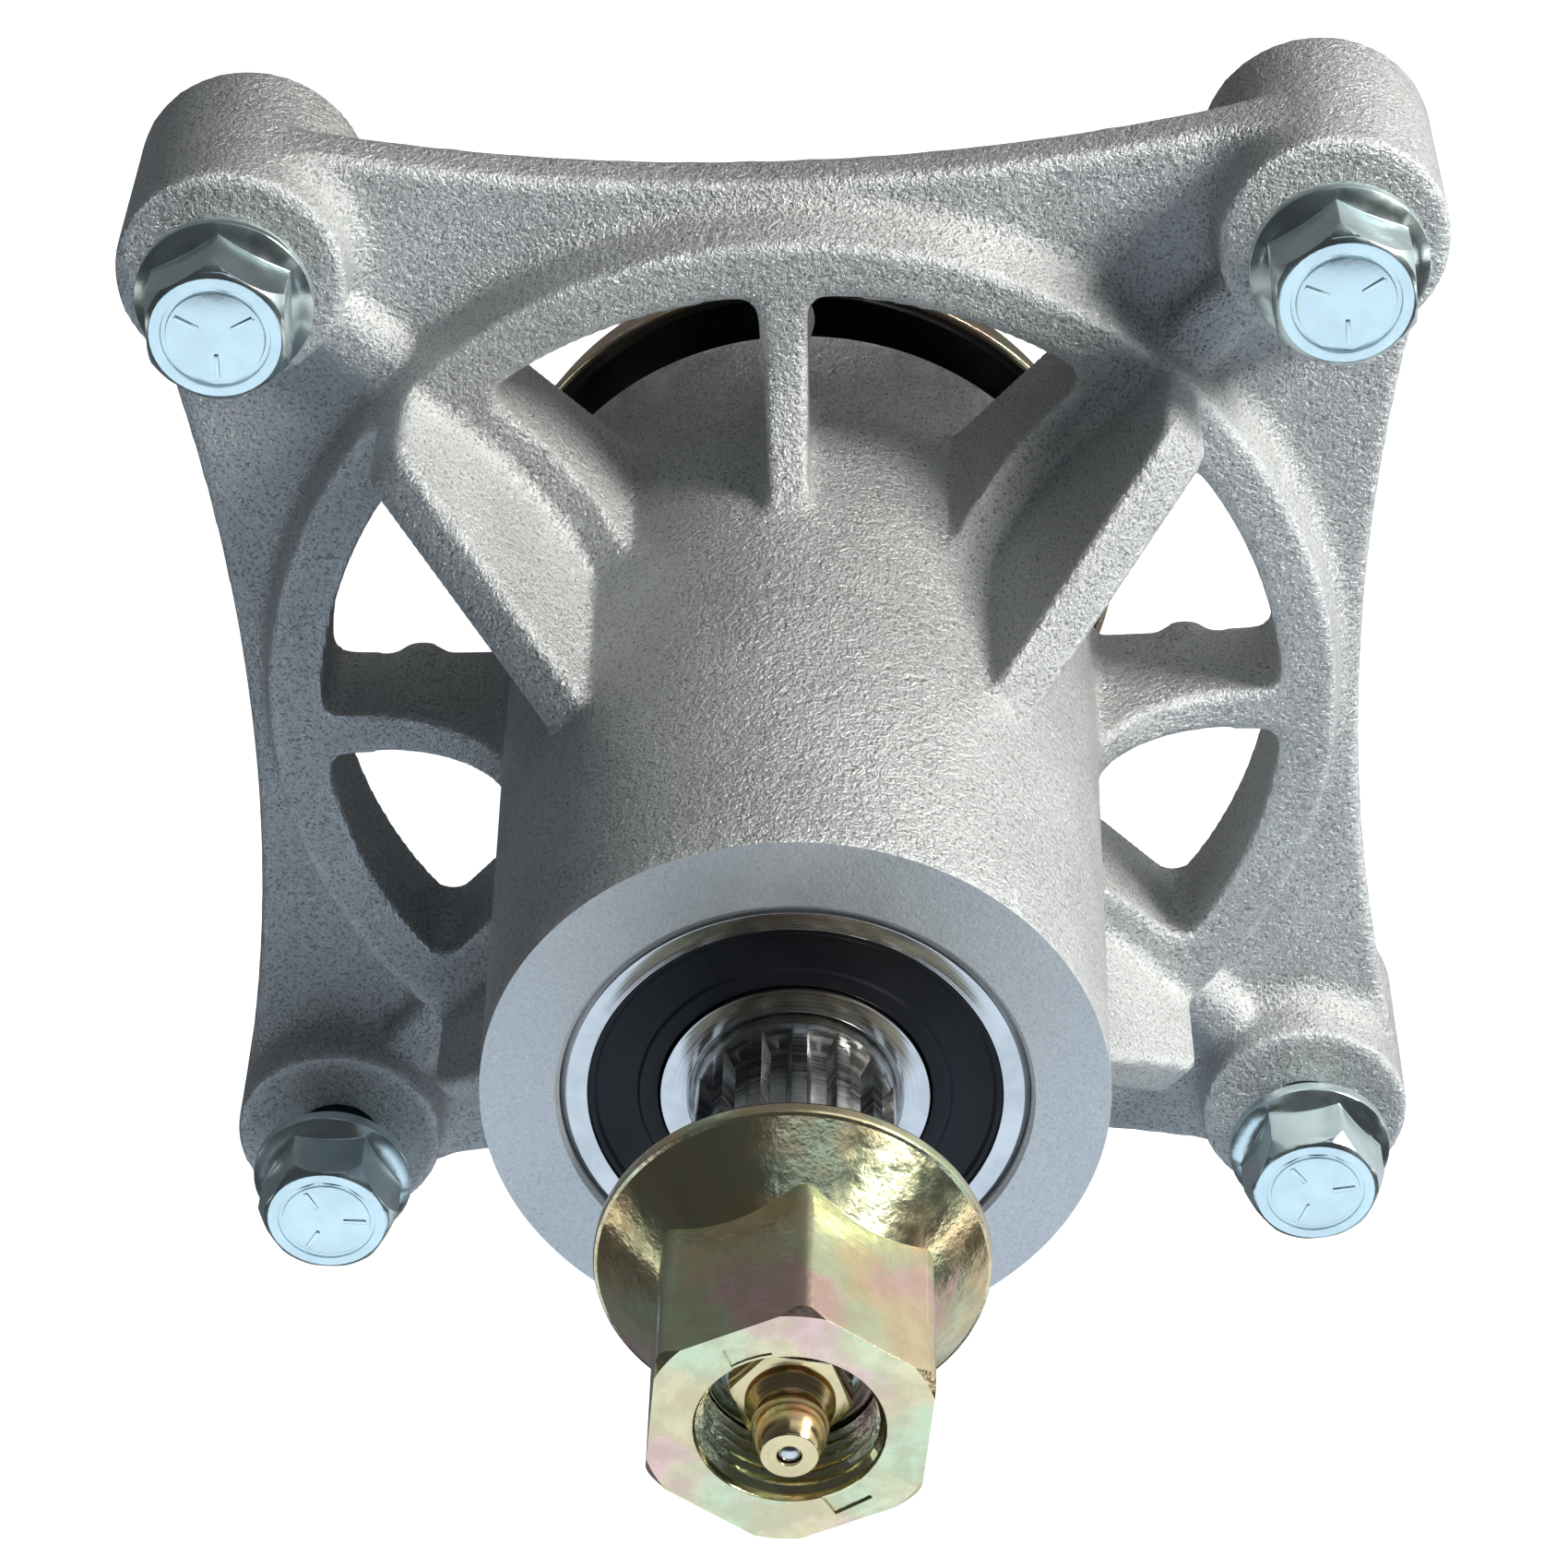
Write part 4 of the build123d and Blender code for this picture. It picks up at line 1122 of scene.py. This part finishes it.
class SPINDLE_OT_dust_cup(bpy.types.Operator):
    """Press the dust cup, gold outside, with painted shade inside"""
    bl_idname = "spindle.dust_cup"
    bl_label = "Dust cup"

    def execute(self, context):
        sizes = context.scene.spindle_cup
        floor, top = cup_low.z, cup_high.z
        rim = cup_high.x
        wall = rim - sizes.lip
        inner = wall - sizes.sheet
        corner = sizes.corner
        small = corner - sizes.sheet
        bend_middle = (wall + sizes.lip_bend, top - sizes.sheet - sizes.lip_bend)
        under_lip = arc(bend_middle, sizes.lip_bend, pi / 2, pi, 6)
        over_lip = arc(bend_middle, sizes.lip_bend + sizes.sheet, pi, pi / 2, 8)
        outer_bend = arc((wall - corner, floor + corner), corner, 0, -pi / 2, 8)
        inner_bend = arc((inner - small, floor + sizes.sheet + small), small, -pi / 2, 0, 8)
        cup = spun(
            [
                *under_lip, *outer_bend, (sizes.hole, floor), (sizes.hole, floor + sizes.sheet),
                *inner_bend, *over_lip, (rim, top), (rim, top - sizes.sheet),
            ]
        )
        round_edges(cup, 0.35 * MM, segments=3)
        bmesh.ops.recalc_face_normals(cup, faces=cup.faces)
        # Faces inside the cup that look up get the painted shade finish; all others are gold zinc.
        for face in cup.faces:
            middle = face.calc_center_median()
            reach = hypot(middle.x, middle.y)
            upward = face.normal.z > 0.2 or face.normal.x * middle.x + face.normal.y * middle.y < -0.2 * reach
            face.material_index = 1 if upward and sizes.hole + 2 * MM < reach < rim - 0.7 * MM else 0
        faces = ("yellow_zinc", "cup_painted_shade")
        finished(cup, "pressed_cup", faces, "spindle", "dust_cup")
        return {"FINISHED"}


# The finish of each CAD node; bearing_ stands for both bearings
NODE_FINISHES = {
    "housing": "casting", "shaft": "shaft_steel", "flange_nut": "yellow_zinc", "grease_fitting": "brass",
    "dust_cup": "yellow_zinc", "deck_bolts": "clear_zinc", "spacer_tube": "shaft_steel",
    "check_ball": "bearing_steel", "check_spring": "spring_steel", "bearing_balls": "bearing_steel",
    "bearing_cage": "cage", "bearing_outer_ring": "bearing_steel", "bearing_inner_ring": "bearing_steel",
    "bearing_top_seal": "rubber", "bearing_bottom_seal": "rubber",
}


class SPINDLE_OT_hidden_pieces(bpy.types.Operator):
    """Give the balls, cages, tube, check ball and spring their finishes"""
    bl_idname = "spindle.hidden_pieces"
    bl_label = "Balls, cages, tube and spring"

    def execute(self, context):
        for name, finish in NODE_FINISHES.items():
            sides = ("upper_", "lower_") if name.startswith("bearing_") else ("",)
            for slot in [slot for side in sides for slot in frame["nodes"][side + name].material_slots]:
                slot.link = "OBJECT"
                slot.material = finishes[finish]
        spring = merged_copy("check_spring")
        piece = finished(
            spring, "ball_spring", "spring_steel", "spindle", "check_spring"
        )
        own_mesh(piece)
        return {"FINISHED"}


def floor_finish(base):
    """Plain pale floor that the camera sees white; to other rays it is dark and glows from its right side, a
    painted light for the reflections.
    """
    material, tree, shader = blank_finish("pale floor", 0.0, Roughness=0.9)
    seen = tree.nodes.new("ShaderNodeLightPath").outputs["Is Camera Ray"]
    parts = tree.nodes.new("ShaderNodeSeparateXYZ")
    tree.links.new(place_of(tree), parts.inputs[0])
    # lit is the painted glow of the floor's right side, which rays other than camera rays see.
    lit = level(tree, ramp(tree, parts.outputs["X"], 0.03, 0.16), 0.02, 0.6)
    tone = mixed(tree, ramp(tree, noise(tree, 3.0), 0.2, 0.8), shade(base, 0.99), base)
    # Other rays see the floor darkened to a fifth, so the reflections of it are dark.
    tree.links.new(mixed(tree, seen, shade(base, 0.2), tone), shader.inputs["Base Color"])
    shader.inputs["Emission Color"].default_value = (*base, 1.0)
    glow = maths(tree, "MAXIMUM", lit, maths(tree, "MULTIPLY", seen, 1.0))
    tree.links.new(glow, shader.inputs["Emission Strength"])
    return material


SKY = (0.72, 0.86, 1.0)
SUN = (1.0, 0.99, 0.92)
# Name, place, width, height, power and tint of each lamp
LAMPS = (
    ("key_softbox", (0.95, 0.70, 0.28), 0.40, 0.40, 22, SUN),
    ("sky_softbox", (-0.05, -0.95, 1.30), 3.2, 2.0, 23, SKY),
    ("front_fill", (0.25, 1.20, 0.65), 0.8, 0.45, 0.8, SKY),
    ("left_strip", (-1.15, -0.25, 0.20), 0.14, 0.5, 0.25, SUN),
    ("right_strip", (1.15, -0.30, 0.24), 0.14, 0.5, 0.45, SUN),
)
LAMP_TARGET = (0, 0, 50 * MM)
WORLD_TINT = (0.93, 0.97, 1.0, 1.0)
WORLD_STRENGTH = 0.055


def softbox(name, place, width, height, power, tint):
    """Soft rectangular lamp that points at the hub."""
    lamp = bpy.data.lights.new(name, "AREA")
    lamp.shape = "RECTANGLE"
    lamp.size = width
    lamp.size_y = height
    lamp.energy = power
    lamp.color = tint
    lamp_object = bpy.data.objects.new(name, lamp)
    bpy.context.scene.collection.objects.link(lamp_object)
    lamp_object.location = place
    lamp_object.rotation_euler = (Vector(LAMP_TARGET) - Vector(place)).to_track_quat("-Z", "Y").to_euler()


class SPINDLE_OT_stage(bpy.types.Operator):
    """Set the floor, the soft lamps and the camera"""
    bl_idname = "spindle.stage"
    bl_label = "Stage"

    def execute(self, context):
        sizes = context.scene.spindle_stage
        ground = bmesh.new()
        bmesh.ops.create_grid(ground, x_segments=8, y_segments=8, size=sizes.floor_width / 2)
        bmesh.ops.translate(ground, vec=(0, 0, shaft_low.z), verts=ground.verts)
        floor = loose_object(ground, "pale_floor")
        floor.data.materials.append(floor_finish(context.scene.spindle_colours.floor))

        for lamp in LAMPS:
            softbox(*lamp)

        world = bpy.data.worlds.new("soft studio")
        world.use_nodes = True
        background = world.node_tree.nodes["Background"].inputs
        background["Color"].default_value = WORLD_TINT
        background["Strength"].default_value = WORLD_STRENGTH
        context.scene.world = world

        camera = bpy.data.cameras.new("photo_camera")
        camera.sensor_width = 36
        camera.lens = sizes.lens
        camera.clip_start = 0.01
        camera_object = bpy.data.objects.new("photo_camera", camera)
        context.scene.collection.objects.link(camera_object)
        camera_object.location = sizes.camera_place
        camera_object.rotation_euler = sizes.camera_turn
        context.scene.camera = camera_object
        context.scene.view_settings.view_transform = "Standard"
        return {"FINISHED"}


OPERATORS = (
    SPINDLE_OT_casting,
    SPINDLE_OT_deck_bolts,
    SPINDLE_OT_flange_nut,
    SPINDLE_OT_grease_fitting,
    SPINDLE_OT_shaft,
    SPINDLE_OT_bearings,
    SPINDLE_OT_dust_cup,
    SPINDLE_OT_hidden_pieces,
    SPINDLE_OT_stage,
)


class SPINDLE_PT_workshop(bpy.types.Panel):
    """Buttons that build the spindle, piece by piece"""
    bl_idname = "SPINDLE_PT_workshop"
    bl_label = "Mower deck spindle"
    bl_space_type = "VIEW_3D"
    bl_region_type = "UI"
    bl_category = "Spindle"

    def draw(self, context):
        column = self.layout.column()
        for operator in OPERATORS:
            column.operator(operator.bl_idname)


def register():
    """Registers the sizes, operators and panel."""
    for name, group in SIZE_GROUPS.items():
        bpy.utils.register_class(group)
        setattr(bpy.types.Scene, name, PointerProperty(type=group))
    for operator in OPERATORS:
        bpy.utils.register_class(operator)
    bpy.utils.register_class(SPINDLE_PT_workshop)


def unregister():
    """Takes the panel, operators and sizes out again."""
    bpy.utils.unregister_class(SPINDLE_PT_workshop)
    for operator in reversed(OPERATORS):
        bpy.utils.unregister_class(operator)
    for name, group in SIZE_GROUPS.items():
        delattr(bpy.types.Scene, name)
        bpy.utils.unregister_class(group)


def main():
    register()
    make_finishes(bpy.context.scene.spindle_colours)
    bpy.ops.spindle.casting()
    bpy.ops.spindle.deck_bolts()
    bpy.ops.spindle.flange_nut()
    bpy.ops.spindle.grease_fitting()
    bpy.ops.spindle.shaft()
    bpy.ops.spindle.bearings()
    bpy.ops.spindle.dust_cup()
    bpy.ops.spindle.hidden_pieces()
    bpy.ops.spindle.stage()


if __name__ == "__main__":
    main()
